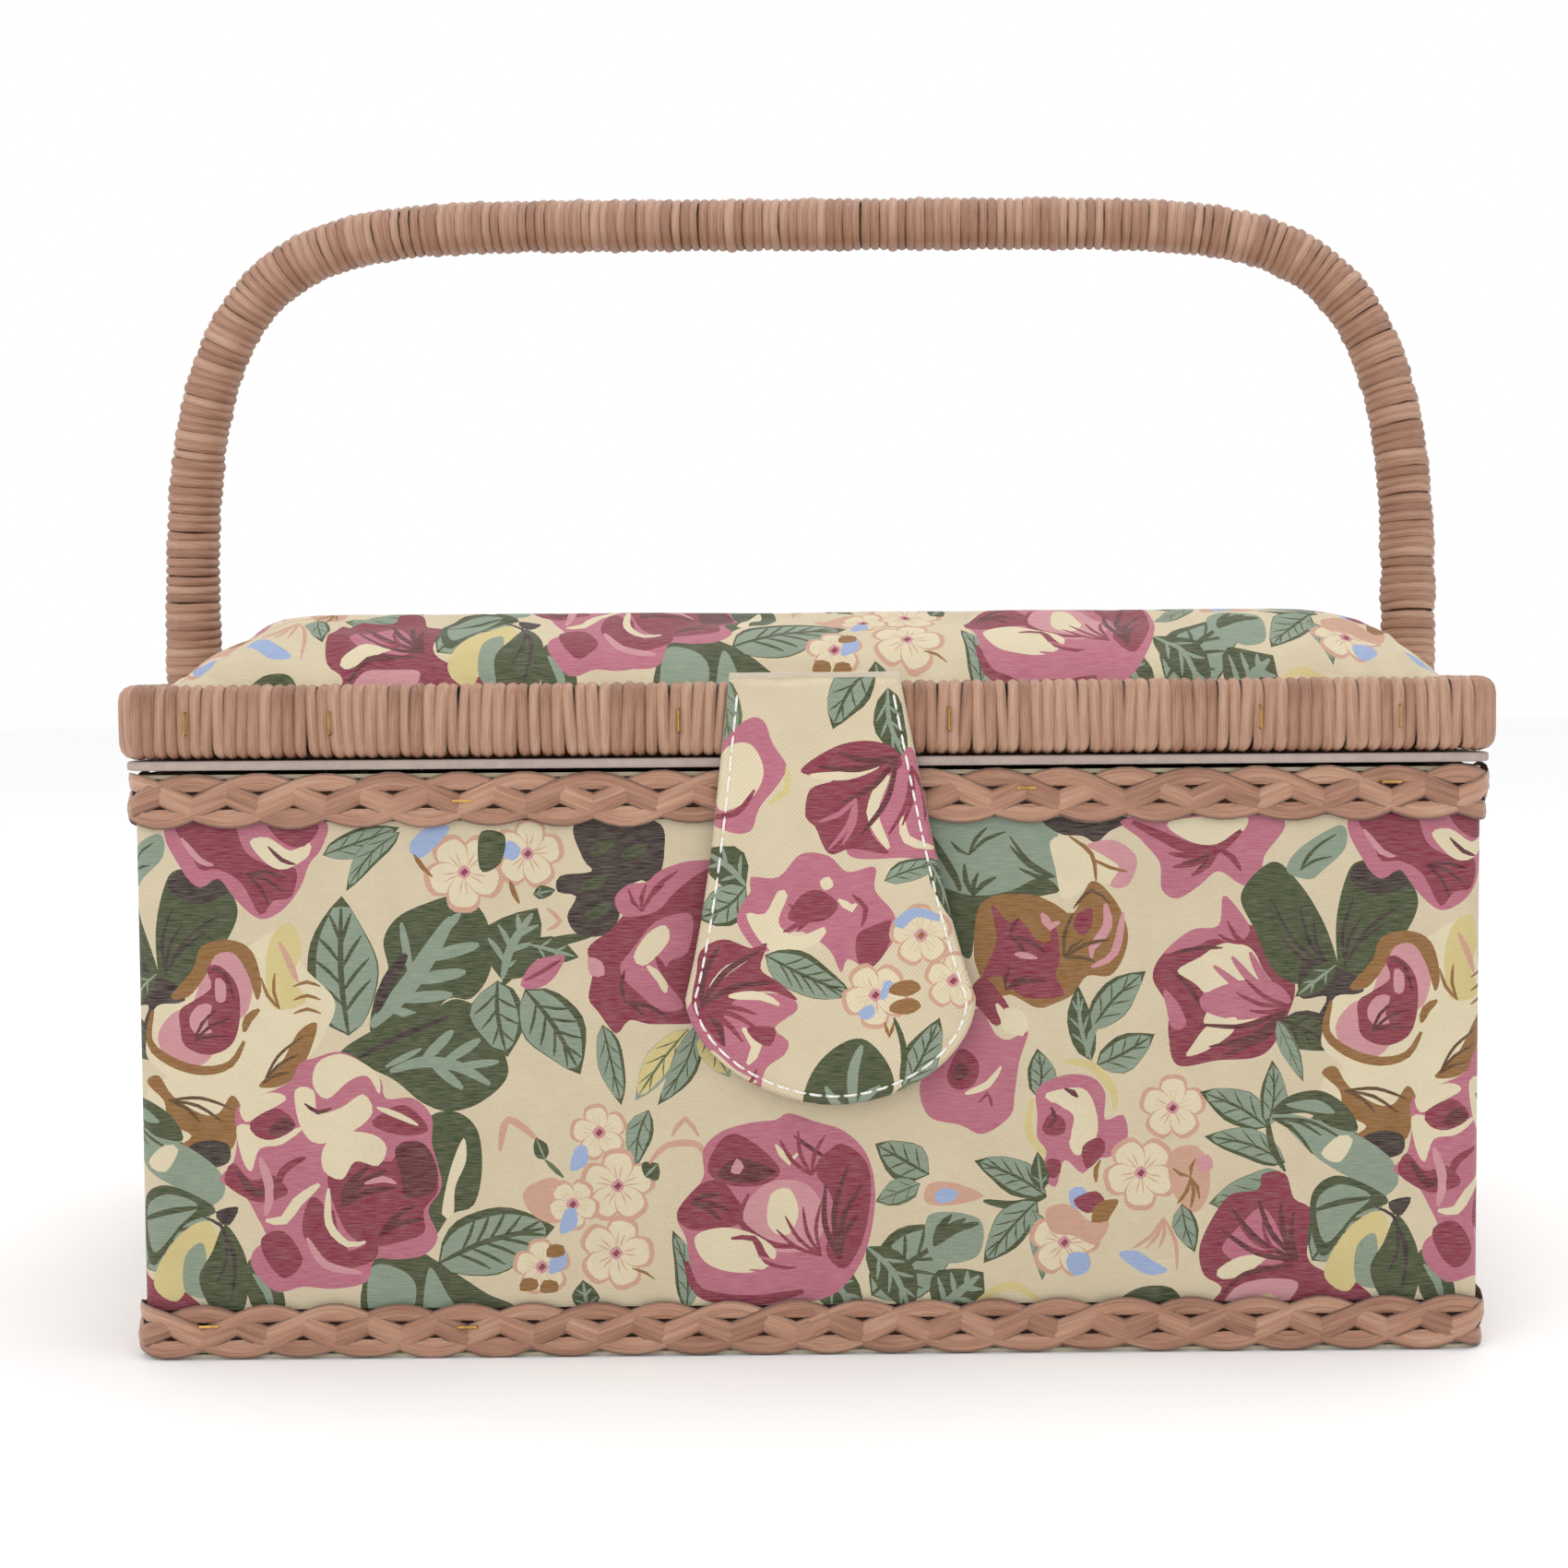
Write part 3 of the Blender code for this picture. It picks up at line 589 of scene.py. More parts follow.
class BOX_OT_rim(bpy.types.Operator):
    """Raffia wound round the lid's rim, with its staples"""

    bl_idname = "sewing_box.rim"
    bl_label = "Bound rim"

    def execute(self, context):
        raffia = context.scene.box_raffia
        rng = random.Random(11)
        half_x, half_y = RIM_HIGH.x, RIM_HIGH.y
        long_way = perimeter(half_x, half_y, RIM_CORNER)
        count = round(long_way / raffia.rim_pitch)
        thick = 0.95 * MM
        low, high = RIM_LOW.z + thick, RIM_HIGH.z - thick
        round_edge = 2.6 * MM
        strands = []
        lean = 0.0
        for index in range(count):
            along = long_way * (index + 0.5) / count
            lean = 0.5 * lean + rng.uniform(-1, 1) * 0.32 * MM
            slant = (0.15 if index % 2 else -0.15) * MM + lean
            swell = rng.uniform(0.86, 1.12)
            proud = rng.uniform(-0.15, 0.25) * MM
            roll = rng.uniform(-0.30, 0.30)
            height = high - low
            outside = thick - proud
            path = [  # (inwards, height, width, roll)
                (RIM_DEPTH - 1.2 * MM, high - 0.4 * MM, 0.85, 0), (RIM_DEPTH * 0.55, high, 0.95, 0),
                (outside + round_edge * 0.80, high - 0.1 * MM, 0.98, roll * 0.5),
                (outside + round_edge * 0.38, high - round_edge * 0.22, 0.98, roll * 0.8),
                (outside + round_edge * 0.10, high - round_edge * 0.58, 1.0, roll),
                (outside, high - round_edge * 1.1, 1.02, roll), (outside, high - round_edge * 1.9, 1.04, roll * 0.9),
                (outside, low + height * 0.5, 1.06, roll * 0.6), (outside, low + height * 0.35, 1.04, roll * 0.2),
                (outside, low + round_edge, 1.0, -roll * 0.3),
                (outside + round_edge * 0.10, low + round_edge * 0.55, 0.98, -roll * 0.5),
                (outside + round_edge * 0.40, low + round_edge * 0.2, 0.96, -roll * 0.5),
                (outside + round_edge, low, 0.95, 0), (RIM_DEPTH * 0.6, low, 0.9, 0),
                (RIM_DEPTH - 1.0 * MM, low + 1.0 * MM, 0.85, 0)]
            strand = []
            for inwards, z, width, turn in path:
                shift = slant * ((z - low) / height - 0.5) * 2
                edge, out = around(half_x, half_y, RIM_CORNER, along + shift)
                place = edge - out * inwards
                strand.append(((place.x, place.y, z), width * swell, turn + math.pi))
            strands.append(strand)
        profile = flat_profile(raffia.rim_pitch * 0.60, 0.95 * MM)
        wound = sweep("rim_strands", profile, strands, cyclic=True)
        glossy = raffia_material("rim_raffia", raffia, 45 * MM)
        as_piece("rim_strands", wound, glossy, "lid", ("rim_wrap",), smooth=60)

        # The core under the strands is coloured with painted shade, so the gaps between the strands read dark.
        inset = 1.9 * MM
        core = ring_mesh("rim_shadow_core", half_x - inset, half_y - inset, RIM_DEPTH - inset - thick,
                         RIM_LOW.z + inset, RIM_HIGH.z - inset, RIM_CORNER - inset, 1.6 * MM)
        dark = board_material("rim_core_painted_shade", tuple(raffia.gap), tuple(c * 0.5 for c in raffia.gap))
        as_piece("rim_core", core, dark, "lid", ("rim_strip",))

        brass = metal_material("staple_brass", context.scene.box_fittings.brass, 0.3)
        upright = []
        for x in (-0.136, -0.1045, -0.0285, 0.0305, 0.0985, 0.1290):
            y = -half_y - STAPLE_PROUD
            upright.append([((x, y + 2 * STAPLE_PROUD, 0.1385), 1, 0), ((x, y, 0.1388), 1, 0),
                            ((x, y, 0.1432), 1, 0), ((x, y + 2 * STAPLE_PROUD, 0.1435), 1, 0)])
        wire = sweep("rim_staples", round_profile(STAPLE_RADIUS, 6), upright)
        as_piece("rim_staples", wire, brass, "lid")
        return {"FINISHED"}


def round_profile(radius, sides):
    return [(radius * math.cos(2 * math.pi * k / sides), radius * math.sin(2 * math.pi * k / sides))
            for k in range(sides)]


def ring_mesh(name, half_x, half_y, wall, low, high, radius, soft):
    """A rectangular ring with round corners and rounded edges."""
    section = [(0, low + soft), (soft, low), (wall - soft, low), (wall, low + soft),
               (wall, high - soft), (wall - soft, high), (soft, high), (0, high - soft)]
    bm = bmesh.new()
    length = perimeter(half_x, half_y, radius)
    stops = []
    straight_x, straight_y, arc = 2 * (half_x - radius), 2 * (half_y - radius), math.pi / 2 * radius
    at = -straight_x / 2
    for straight in (straight_x, straight_y, straight_x, straight_y):
        at += straight
        stops += [at + arc * k / 6 for k in range(7)]
        at += arc
    loops = []
    for stop in stops:
        edge, out = around(half_x, half_y, radius, stop % length)
        loops.append([bm.verts.new((*(edge - out * inwards).xy, z)) for inwards, z in section])
    joined = list(zip(loops, loops[1:] + loops[:1]))
    for first, second in joined:
        for k in range(len(section)):
            j = (k + 1) % len(section)
            bm.faces.new((first[k], first[j], second[j], second[k]))
    bmesh.ops.recalc_face_normals(bm, faces=bm.faces)
    return mesh_of(bm, name)


class BOX_OT_braids(bpy.types.Operator):
    """Plaited raffia round the top and the foot of the walls"""

    bl_idname = "sewing_box.braids"
    bl_label = "Plaits"

    def execute(self, context):
        raffia = context.scene.box_raffia
        straw = raffia_material("plait_raffia", raffia, 1.0, warm=0.05, gloss=0.40)
        # Painted shade: a dark ring in the gaps' colour sits behind each plait, so the gaps between its strands read
        # dark.
        painted_shade_ring = board_material("plait_painted_shade", tuple(raffia.gap), tuple(c * 0.6 for c in raffia.gap))
        for node, seed in (("upper_braid", 3), ("lower_braid", 8)):
            low, high = span(node)
            depth = high.y - COVER_HIGH.y
            half_x, half_y = high.x - depth * 0.62, high.y - depth * 0.62
            radius = COVER_CORNER + depth * 0.4
            length = perimeter(half_x, half_y, radius)
            turns = round(length / (3 * raffia.lobe))
            middle = (low.z + high.z) / 2
            sway = 3.2 * MM
            strands = []
            steps = turns * 18
            for which in range(3):
                phase = 2 * math.pi * which / 3
                strand = []
                for step in range(steps):
                    share = step / steps
                    angle = 2 * math.pi * turns * share + phase
                    wobble = noise.noise(Vector((share * 90, which * 7.3, seed)))
                    edge, out = around(half_x, half_y, radius, length * share)
                    lift = 0.55 * MM * math.cos(2 * angle) + 0.12 * MM * wobble
                    z = middle + sway * math.sin(angle) * (1 + 0.08 * wobble)
                    width = 1.0 + 0.12 * wobble - 0.10 * math.cos(2 * angle)
                    lean = 0.30 * math.sin(angle) + 0.15 * wobble
                    place = edge + out * lift
                    strand.append(((place.x, place.y, z), width, math.pi / 2 + lean))
                strands.append(strand)
            plait = sweep(node + "_strands", flat_profile(2.8 * MM, 0.95 * MM), strands, cyclic=True, twist="Z_UP")
            as_piece(node + "_strands", plait, straw, "root", (node,), smooth=60)
            # The ring of painted shade behind the plait.
            inner = ring_mesh(node + "_backing", COVER_HIGH.x + 0.75 * MM, COVER_HIGH.y + 0.75 * MM, 0.7 * MM,
                              low.z + 1.6 * MM, high.z - 1.6 * MM, COVER_CORNER + 0.7 * MM, 0.2 * MM)
            as_piece(node + "_backing", inner, painted_shade_ring, "root")
        brass = metal_material("plait_staple_brass", context.scene.box_fittings.brass, 0.3)
        level = []
        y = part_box("upper_braid")[0][1] - 0.15 * MM
        for x, z in ((-0.0760, 0.1238), (0.0475, 0.1258), (0.1275, 0.1266), (-0.1335, 0.0078), (-0.0765, 0.0072)):
            level.append([((x - 2.2 * MM, y + 0.8 * MM, z), 1, 0), ((x - 2 * MM, y, z), 1, 0),
                          ((x + 2 * MM, y, z), 1, 0), ((x + 2.2 * MM, y + 0.8 * MM, z), 1, 0)])
        wire = sweep("plait_staples", round_profile(STAPLE_RADIUS, 6), level)
        as_piece("plait_staples", wire, brass, "root")
        return {"FINISHED"}


class BOX_OT_handle(bpy.types.Operator):
    """Raffia wound round the cane handle"""

    bl_idname = "sewing_box.handle"
    bl_label = "Handle"

    def execute(self, context):
        raffia = context.scene.box_raffia
        rng = random.Random(5)
        line = hoop_line()
        turns = spaced(line, raffia.wrap_pitch)
        strands = []
        sides = 10
        for index, (place, along) in enumerate(turns[1:-1], 1):
            outward = Vector((along.z, 0, -along.x))
            if outward.dot(Vector((place.x, 0, place.z - 0.1))) < 0:
                outward = -outward
            leg = min(1.0, max(0.0, (0.235 - place.z) / 0.06))
            radius = WRAP_RADIUS - (1.35 - 0.45 * leg) * MM + rng.uniform(-0.12, 0.16) * MM
            slant = rng.uniform(0.25, 1.0) * MM
            width = rng.uniform(0.85, 1.2)
            tilt = math.atan2(outward.x, outward.z)
            ring = []
            for side in range(sides):
                angle = 2 * math.pi * side / sides
                spoke = outward * math.cos(angle) + Vector((0, 1, 0)) * math.sin(angle)
                point = place + spoke * radius + along * slant * math.sin(angle)
                ring.append((tuple(point), width * (1 + 0.08 * math.sin(3 * angle + index)), tilt))
            strands.append(ring)
        profile = flat_profile(raffia.wrap_pitch * 0.60, 0.95 * MM, 0.72)
        wound = sweep("handle_strands", profile, strands, cyclic=True)
        as_piece("handle_strands", wound, raffia_material("handle_raffia", raffia, 44 * MM, gloss=0.38),
                 "handle", ("handle_wrap",), smooth=60)
        return {"FINISHED"}


# ---- Printed flowers ----

REPEAT = 260.0  # millimetres from one repeat of the print to the next
TONES = {
    "ground": (226, 210, 178), "cream": (236, 222, 188), "yellow": (222, 204, 140), "peach": (214, 166, 142),
    "pink": (193, 108, 132), "rose": (214, 150, 158), "burgundy": (140, 38, 68), "wine": (96, 16, 42),
    "green": (60, 74, 40), "sage": (140, 158, 138), "moss": (92, 108, 72), "black": (50, 32, 38),
    "ochre": (148, 100, 44), "brown": (92, 58, 26), "blue": (160, 182, 222),
}


def through(points, closed=True, spacing=1.3):
    """A smooth line through a few points, as a Catmull-Rom curve."""
    count = len(points)
    line = []
    for index in range(count if closed else count - 1):
        around_it = [points[(index + k) % count] if closed else points[min(max(index + k, 0), count - 1)]
                     for k in (-1, 0, 1, 2)]
        a, b, c, d = (Vector(p) for p in around_it)
        steps = max(1, min(8, round((c - b).length / spacing)))
        for step in range(steps):
            t = step / steps
            line.append(0.5 * (2 * b + (c - a) * t + (2 * a - 5 * b + 4 * c - d) * t * t
                               + (3 * b - a - 3 * c + d) * t ** 3))
    if not closed:
        line.append(Vector(points[-1]))
    return line


class Design:
    """Painted shapes in millimetres, later ones on top."""

    def __init__(self):
        self.shapes = []

    def blob(self, tone, *points):
        self.shapes.append((tone, through(points)))

    def brush(self, tone, width, *points):
        """A brush stroke that swells in the middle and tapers at its ends."""
        line = through(points, closed=False, spacing=2.0)
        last = len(line) - 1
        left, right = [], []
        for index, point in enumerate(line):
            ahead = line[min(index + 1, last)] - line[max(index - 1, 0)]
            side = Vector((-ahead.y, ahead.x)).normalized() * width / 2
            swell = math.sin(math.pi * (0.06 + 0.88 * index / last)) ** 0.7
            left.append(point + side * swell)
            right.append(point - side * swell)
        self.shapes.append((tone, left + right[::-1]))

    def leaf(self, base, tip, width, kind="sage", bend=0.0, veins=4):
        """A veined leaf from its stalk to its point; bend moves its middle sideways."""
        base, tip = Vector(base), Vector(tip)
        along = tip - base
        side = Vector((-along.y, along.x)).normalized()
        middle = base + along * 0.45 + side * bend

        def spine(t):
            return base * (1 - t) ** 2 + middle * 2 * t * (1 - t) + tip * t * t

        def edge(t, hand, share=1.0):
            full = math.sin(math.pi * t ** 0.85) ** 0.8 * (1 + 0.07 * math.sin(9 * t + hand * 2 + base.x))
            return spine(t) + side * hand * width / 2 * full * share

        steps = max(5, round(along.length / 2.4))
        shares = [k / steps for k in range(steps + 1)]
        body, inner, vein = {"sage": ("green", "sage", "green"), "green": ("green", "green", "sage"),
                             "pale": ("moss", "sage", "moss"), "yellow": ("sage", "yellow", "moss"),
                             "dark": ("black", "green", "black")}[kind]
        right = [edge(t, 1) for t in shares]
        left = [edge(t, -1) for t in shares[1:-1]]
        self.shapes.append((body, right + left[::-1]))
        if inner != body:
            right = [edge(t, 1, 0.74) for t in shares[1:-1]]
            left = [edge(t, -1, 0.96) for t in shares[1:-1]]
            self.shapes.append((inner, [spine(0.02)] + right + [spine(0.93)] + left[::-1]))
        broad = 0.055 * width if kind != "green" else 0.10 * width
        self.brush(vein, broad * 1.5, spine(0.0), spine(0.45), spine(0.92))
        for index in range(veins):
            t = 0.18 + 0.62 * index / veins
            for hand in (1, -1):
                start = spine(t + (0.05 if hand > 0 else 0))
                end = edge(min(t + 0.24, 0.95), hand, 0.80)
                self.brush(vein, broad, start, start.lerp(end, 0.5) + along * 0.015, end)

    def blossom(self, x, y, size, turn=0.0, petals=5, heart="burgundy"):
        """A small open flower: outlined petals, and fine strokes from a dark heart."""
        for index in range(petals):
            angle = turn + 2 * math.pi * index / petals
            out = Vector((math.cos(angle), math.sin(angle)))
            side = Vector((-out.y, out.x))
            centre = Vector((x, y))
            for tone, grow in (("peach", 1.0), ("cream", 0.86)):
                reach, wide = size * grow, size * 0.40 * grow
                self.blob(tone, centre, centre + out * reach * 0.45 + side * wide,
                          centre + out * reach * 0.9 + side * wide * 0.85, centre + out * reach,
                          centre + out * reach * 0.9 - side * wide * 0.85, centre + out * reach * 0.45 - side * wide)
            for spread in (-0.18, 0.16):
                ray = Vector((math.cos(angle + spread), math.sin(angle + spread)))
                self.brush("peach", 0.35, centre + ray * size * 0.15, centre + ray * size * 0.55)
        self.blob("rose", (x - 1.6, y), (x, y - 1.5), (x + 1.5, y), (x, y + 1.6))
        self.blob(heart, (x - 0.9, y - 0.2), (x, y - 0.9), (x + 0.9, y + 0.1), (x + 0.1, y + 0.9))

    def fan(self, tone, width, foot, tips):
        """Strokes that spread from one foot."""
        for tip in tips:
            foot_v, tip_v = Vector(foot), Vector(tip)
            bow = Vector((-(tip_v - foot_v).y, (tip_v - foot_v).x)) * 0.10
            self.brush(tone, width, foot_v, foot_v.lerp(tip_v, 0.5) + bow, tip_v)

    def moved(self, x, y):
        shift = Vector((x, y))
        return [(tone, [point + shift for point in line]) for tone, line in self.shapes]


def top_rose(d):
    d.blob("pink", (-141, 119), (-138, 109), (-134, 105), (-130, 107), (-126, 102), (-121, 98), (-116, 100),
           (-112, 105), (-110, 110), (-107, 114), (-107, 120), (-124, 123))
    d.blob("burgundy", (-139, 119), (-136, 113), (-134, 109), (-130, 109), (-125, 106), (-121, 99), (-118, 102),
           (-114, 103), (-113, 109), (-119, 110), (-124, 113), (-128, 121))
    d.blob("cream", (-123, 115), (-119, 110), (-115, 109), (-110, 112), (-110, 115), (-114, 113), (-119, 116))
    d.blob("burgundy", (-119, 120), (-116, 115), (-111, 114), (-108, 119))
    d.fan("wine", 0.9, (-124, 108), ((-115, 107), (-116, 104), (-119, 101)))
    d.brush("wine", 1.0, (-119, 114), (-116, 111), (-113, 110))
    d.brush("rose", 1.4, (-138, 116), (-134, 111), (-131, 110))


def left_leaves(d):
    d.blob("green", (-143, 84), (-144, 95), (-142, 105), (-139, 109), (-131, 108), (-126, 101), (-128, 94), (-134, 87),
           (-139, 83))
    d.blob("black", (-141, 105), (-138, 109), (-129, 108), (-128, 104), (-135, 101.5))
    d.fan("black", 0.8, (-142, 86), ((-138, 97), (-133, 95), (-130, 99), (-140, 101)))
    d.blob("green", (-165, 102), (-158, 109), (-152, 104), (-147, 96), (-144, 88), (-143, 82), (-148, 81), (-157, 84),
           (-162, 94))
    d.blob("sage", (-155, 107), (-152, 112), (-143, 117), (-142, 112), (-147, 107), (-150, 105))
    d.fan("green", 0.7, (-152, 107), ((-144, 115), (-147, 113), (-145, 110)))
    d.fan("black", 0.8, (-145, 85), ((-156, 92), (-152, 99), (-158, 100), (-149, 97)))
    d.blob("black", (-151, 88), (-145, 86), (-139, 83), (-138, 79), (-142, 77), (-148, 74), (-146, 79), (-152, 79))
    d.leaf((-144, 86), (-153, 79), 5, "green", veins=2)
    d.leaf((-156, 74), (-143, 68), 9, "dark", veins=3)
    d.leaf((-157, 74), (-151, 60), 4, "pale", veins=2)


def ochre_rose(d):
    d.blob("cream", (-146, 74), (-144, 79), (-138, 80), (-134, 86), (-131, 92), (-124, 92), (-119, 95), (-114, 96),
           (-112, 88), (-105, 80), (-107, 73), (-111, 67), (-118, 61), (-123, 58), (-127, 50), (-135, 47), (-141, 50),
           (-147, 56), (-146, 62), (-142, 63), (-147, 68))
    d.blob("yellow", (-119, 79), (-120, 88), (-118, 95), (-114, 97), (-112, 91), (-114, 85), (-111, 80), (-115, 78))
    d.brush("peach", 1.6, (-117, 93), (-115, 89), (-113, 84))
    d.blob("rose", (-133, 89), (-127, 91.5), (-123, 86), (-124, 78), (-128, 74), (-134, 66), (-141, 66), (-144, 72),
           (-141, 77), (-136, 80))
    d.blob("ochre", (-141, 81), (-136, 87), (-134, 92), (-128, 93.5), (-123, 91), (-121, 84), (-122, 80), (-124, 86),
           (-127, 90.5), (-131, 90), (-133, 86), (-137, 81))
    d.blob("burgundy", (-139, 74), (-138, 70), (-133, 68), (-128, 70), (-126, 75), (-126, 82), (-128, 86), (-131, 88),
           (-133, 87), (-132, 83), (-136, 80), (-139, 78))
    d.blob("rose", (-137, 76), (-135, 79), (-132, 79), (-133, 75), (-132, 73), (-136, 73))
    d.blob("rose", (-131, 85), (-129, 84), (-129, 80), (-131, 80))
    d.fan("wine", 0.8, (-136, 71), ((-129, 72), (-128, 76), (-131, 78)))
    d.brush("wine", 0.9, (-132, 87), (-129, 86), (-127, 80))
    d.brush("ochre", 2.2, (-145, 78), (-146, 71), (-141, 66.5), (-134, 64.5), (-128, 66), (-125, 71))
    d.brush("ochre", 2.0, (-125, 73), (-124, 76), (-121.5, 78))
    d.blob("ochre", (-147, 62), (-144, 63.5), (-141, 59), (-135, 55), (-131, 55), (-128, 59), (-126, 56), (-127, 50),
           (-129, 46.5), (-136, 46), (-141, 47), (-137, 50), (-142, 53), (-143, 58))
    d.fan("brown", 0.8, (-142, 58), ((-135, 53), (-130, 53), (-128, 56)))
    d.blob("ochre", (-122, 61), (-117, 66), (-113, 73), (-109, 75), (-110, 70), (-113, 64), (-117, 61))
    d.fan("brown", 0.7, (-121, 61.5), ((-112, 72), (-113, 68), (-115, 64)))
    d.blob("black", (-138, 47), (-134, 43), (-129, 44), (-129, 48), (-134, 49))
    for y in (77, 80, 83):
        d.brush("ochre", 0.8, (-114, y), (-111, y + 1), (-108, y))
    d.fan("ochre", 0.8, (-117, 78), ((-121, 85), (-118, 86)))


def big_leaves(d):
    d.leaf((-102, 72), (-103, 103), 16, "sage", bend=2, veins=4)
    d.blob("green", (-97, 72), (-96, 81), (-93, 86), (-94, 93), (-91, 98), (-85, 101), (-77, 103), (-72, 99), (-70, 92),
           (-71, 85), (-75, 80), (-80, 80), (-86, 74), (-91, 71))
    d.brush("sage", 4.2, (-97, 74), (-88, 84), (-79, 98))
    for start, end, width in (((-91, 80), (-79, 81), 2.6), ((-88, 84), (-76, 86), 2.8), ((-85, 89), (-73, 92), 2.8),
                              ((-83, 93), (-77, 99), 2.2), ((-88, 85), (-90, 97), 1.8), ((-93, 78), (-86, 76), 2.0)):
        d.brush("sage", width, start, end)
    d.brush("black", 3.0, (-96, 77), (-93, 84), (-89, 90))
    d.blob("green", (-104, 68), (-97, 73), (-90, 76), (-83, 78), (-78, 80), (-72, 77), (-69, 71), (-67, 63), (-73, 57),
           (-80, 55), (-86, 57), (-92, 62), (-98, 65))
    d.brush("sage", 2.6, (-93, 64), (-86, 66), (-78, 65), (-71, 61))
    for start, end, width in (((-86, 66), (-79, 73), 2.4), ((-81, 66), (-73, 71), 2.2), ((-84, 66), (-77, 60), 2.2),
                              ((-78, 65), (-69, 66), 1.8), ((-94, 65), (-86, 69), 1.4)):
        d.brush("sage", width, start, end)
    d.brush("black", 1.3, (-100, 67), (-90, 72), (-80, 76))
    d.leaf((-107, 112), (-90, 118), 6, "sage", veins=3)
    d.leaf((-90, 117), (-102, 104), 5, "sage", bend=-3, veins=3)


def cabbage_rose(d):
    d.blob("green", (-98, 22), (-90, 25), (-84, 22), (-78, 18), (-72, 14), (-66, 11), (-70, 7), (-98, 7))
    d.blob("sage", (-98, 20), (-92, 20), (-88, 16), (-90, 9), (-98, 9))
    d.blob("sage", (-85, 20), (-81, 14), (-78, 8), (-86, 8))
    d.blob("green", (-85, 53), (-79, 55), (-74, 51), (-73, 42), (-75, 34), (-80, 32), (-84, 27), (-86, 33), (-84, 43))
    d.blob("cream", (-82, 32), (-80, 42), (-77, 49), (-76.5, 44), (-79, 38), (-79.5, 32))
    d.leaf((-83, 21), (-57, 29), 15, "sage", bend=3, veins=5)
    d.blob("pink", (-110, 67), (-104, 68.5), (-99, 66), (-95, 62), (-94, 58), (-88, 58), (-84, 54), (-84, 48),
           (-83, 44), (-82, 38), (-85, 33), (-83, 27), (-86, 23), (-92, 22), (-97, 22), (-99, 17), (-106, 15.5),
           (-113, 16), (-119, 15), (-124, 20), (-124, 24), (-121, 27), (-123, 32), (-126, 37), (-131, 40), (-128, 44),
           (-127, 49), (-127, 56), (-121, 59), (-115, 62), (-113, 66))
    d.blob("cream", (-109, 66), (-110, 61), (-107, 58), (-102, 62), (-98, 63), (-95.5, 59), (-95.5, 63), (-99, 66),
           (-104, 68))
    d.blob("cream", (-114, 60), (-113, 52), (-109, 48), (-101, 51), (-97, 55), (-99, 59), (-104, 56), (-109, 55),
           (-110, 60))
    d.blob("cream", (-126, 57), (-125, 53), (-121, 55), (-116, 58), (-119, 59.5))
    d.blob("cream", (-127, 52), (-123, 52), (-119, 50), (-112, 52), (-117, 48), (-122, 47), (-124, 42), (-126, 45))
    d.blob("burgundy", (-124, 53), (-118, 56), (-114, 52), (-119, 49), (-123, 50))
    d.blob("wine", (-120, 51), (-117, 54), (-114, 52), (-118, 50))
    d.blob("burgundy", (-128, 44), (-124, 40), (-119, 41), (-116, 37), (-122, 35), (-127, 37), (-130, 40))
    d.brush("wine", 2.0, (-127, 42), (-123, 37), (-118, 40))
    d.brush("cream", 2.4, (-121, 31), (-117, 31), (-114, 35), (-109, 39))
    d.brush("rose", 2.2, (-122, 45), (-120, 38), (-121, 32))
    d.brush("burgundy", 1.8, (-119, 36), (-117, 42), (-112, 45))
    d.blob("burgundy", (-107, 41), (-100, 45), (-93, 44), (-91, 48), (-86, 48), (-83, 43), (-83, 37), (-86, 33),
           (-86, 28), (-91, 26), (-97, 25), (-102, 27), (-105, 32))
    d.blob("cream", (-108, 47), (-104, 50.5), (-97, 50), (-94, 47), (-96, 43), (-101, 44), (-104, 40), (-108, 42))
    d.blob("wine", (-92, 47), (-86, 48), (-83, 42), (-84, 37), (-90, 36), (-91, 41))
    d.fan("wine", 1.5, (-104, 34), ((-98, 43), (-94, 42), (-92, 38), (-101, 41)))
    d.fan("wine", 1.2, (-96, 27), ((-88, 34), (-86, 31), (-91, 31)))
    d.brush("rose", 1.4, (-99, 39), (-95, 40), (-92, 39))
    d.blob("burgundy", (-111, 36), (-113, 29), (-110, 23), (-104, 20), (-97, 22), (-97, 26), (-103, 24), (-108, 28),
           (-108, 34))
    d.blob("burgundy", (-109, 33), (-106, 33), (-105, 28), (-103, 24), (-108, 25))
    d.brush("cream", 1.8, (-107, 38), (-107, 30), (-103, 25.5), (-99, 26))
    d.brush("rose", 1.8, (-112, 27), (-108, 21), (-100, 19))
    d.blob("burgundy", (-122, 27), (-117, 28.5), (-113, 22), (-117, 18), (-121, 22))
    d.blob("burgundy", (-96, 54), (-90, 56.5), (-85, 52), (-86, 50), (-92, 50), (-97, 52))
    d.brush("cream", 1.4, (-96, 56), (-91, 54), (-87, 52))
    d.brush("wine", 1.0, (-112, 57), (-109, 55), (-106, 56))


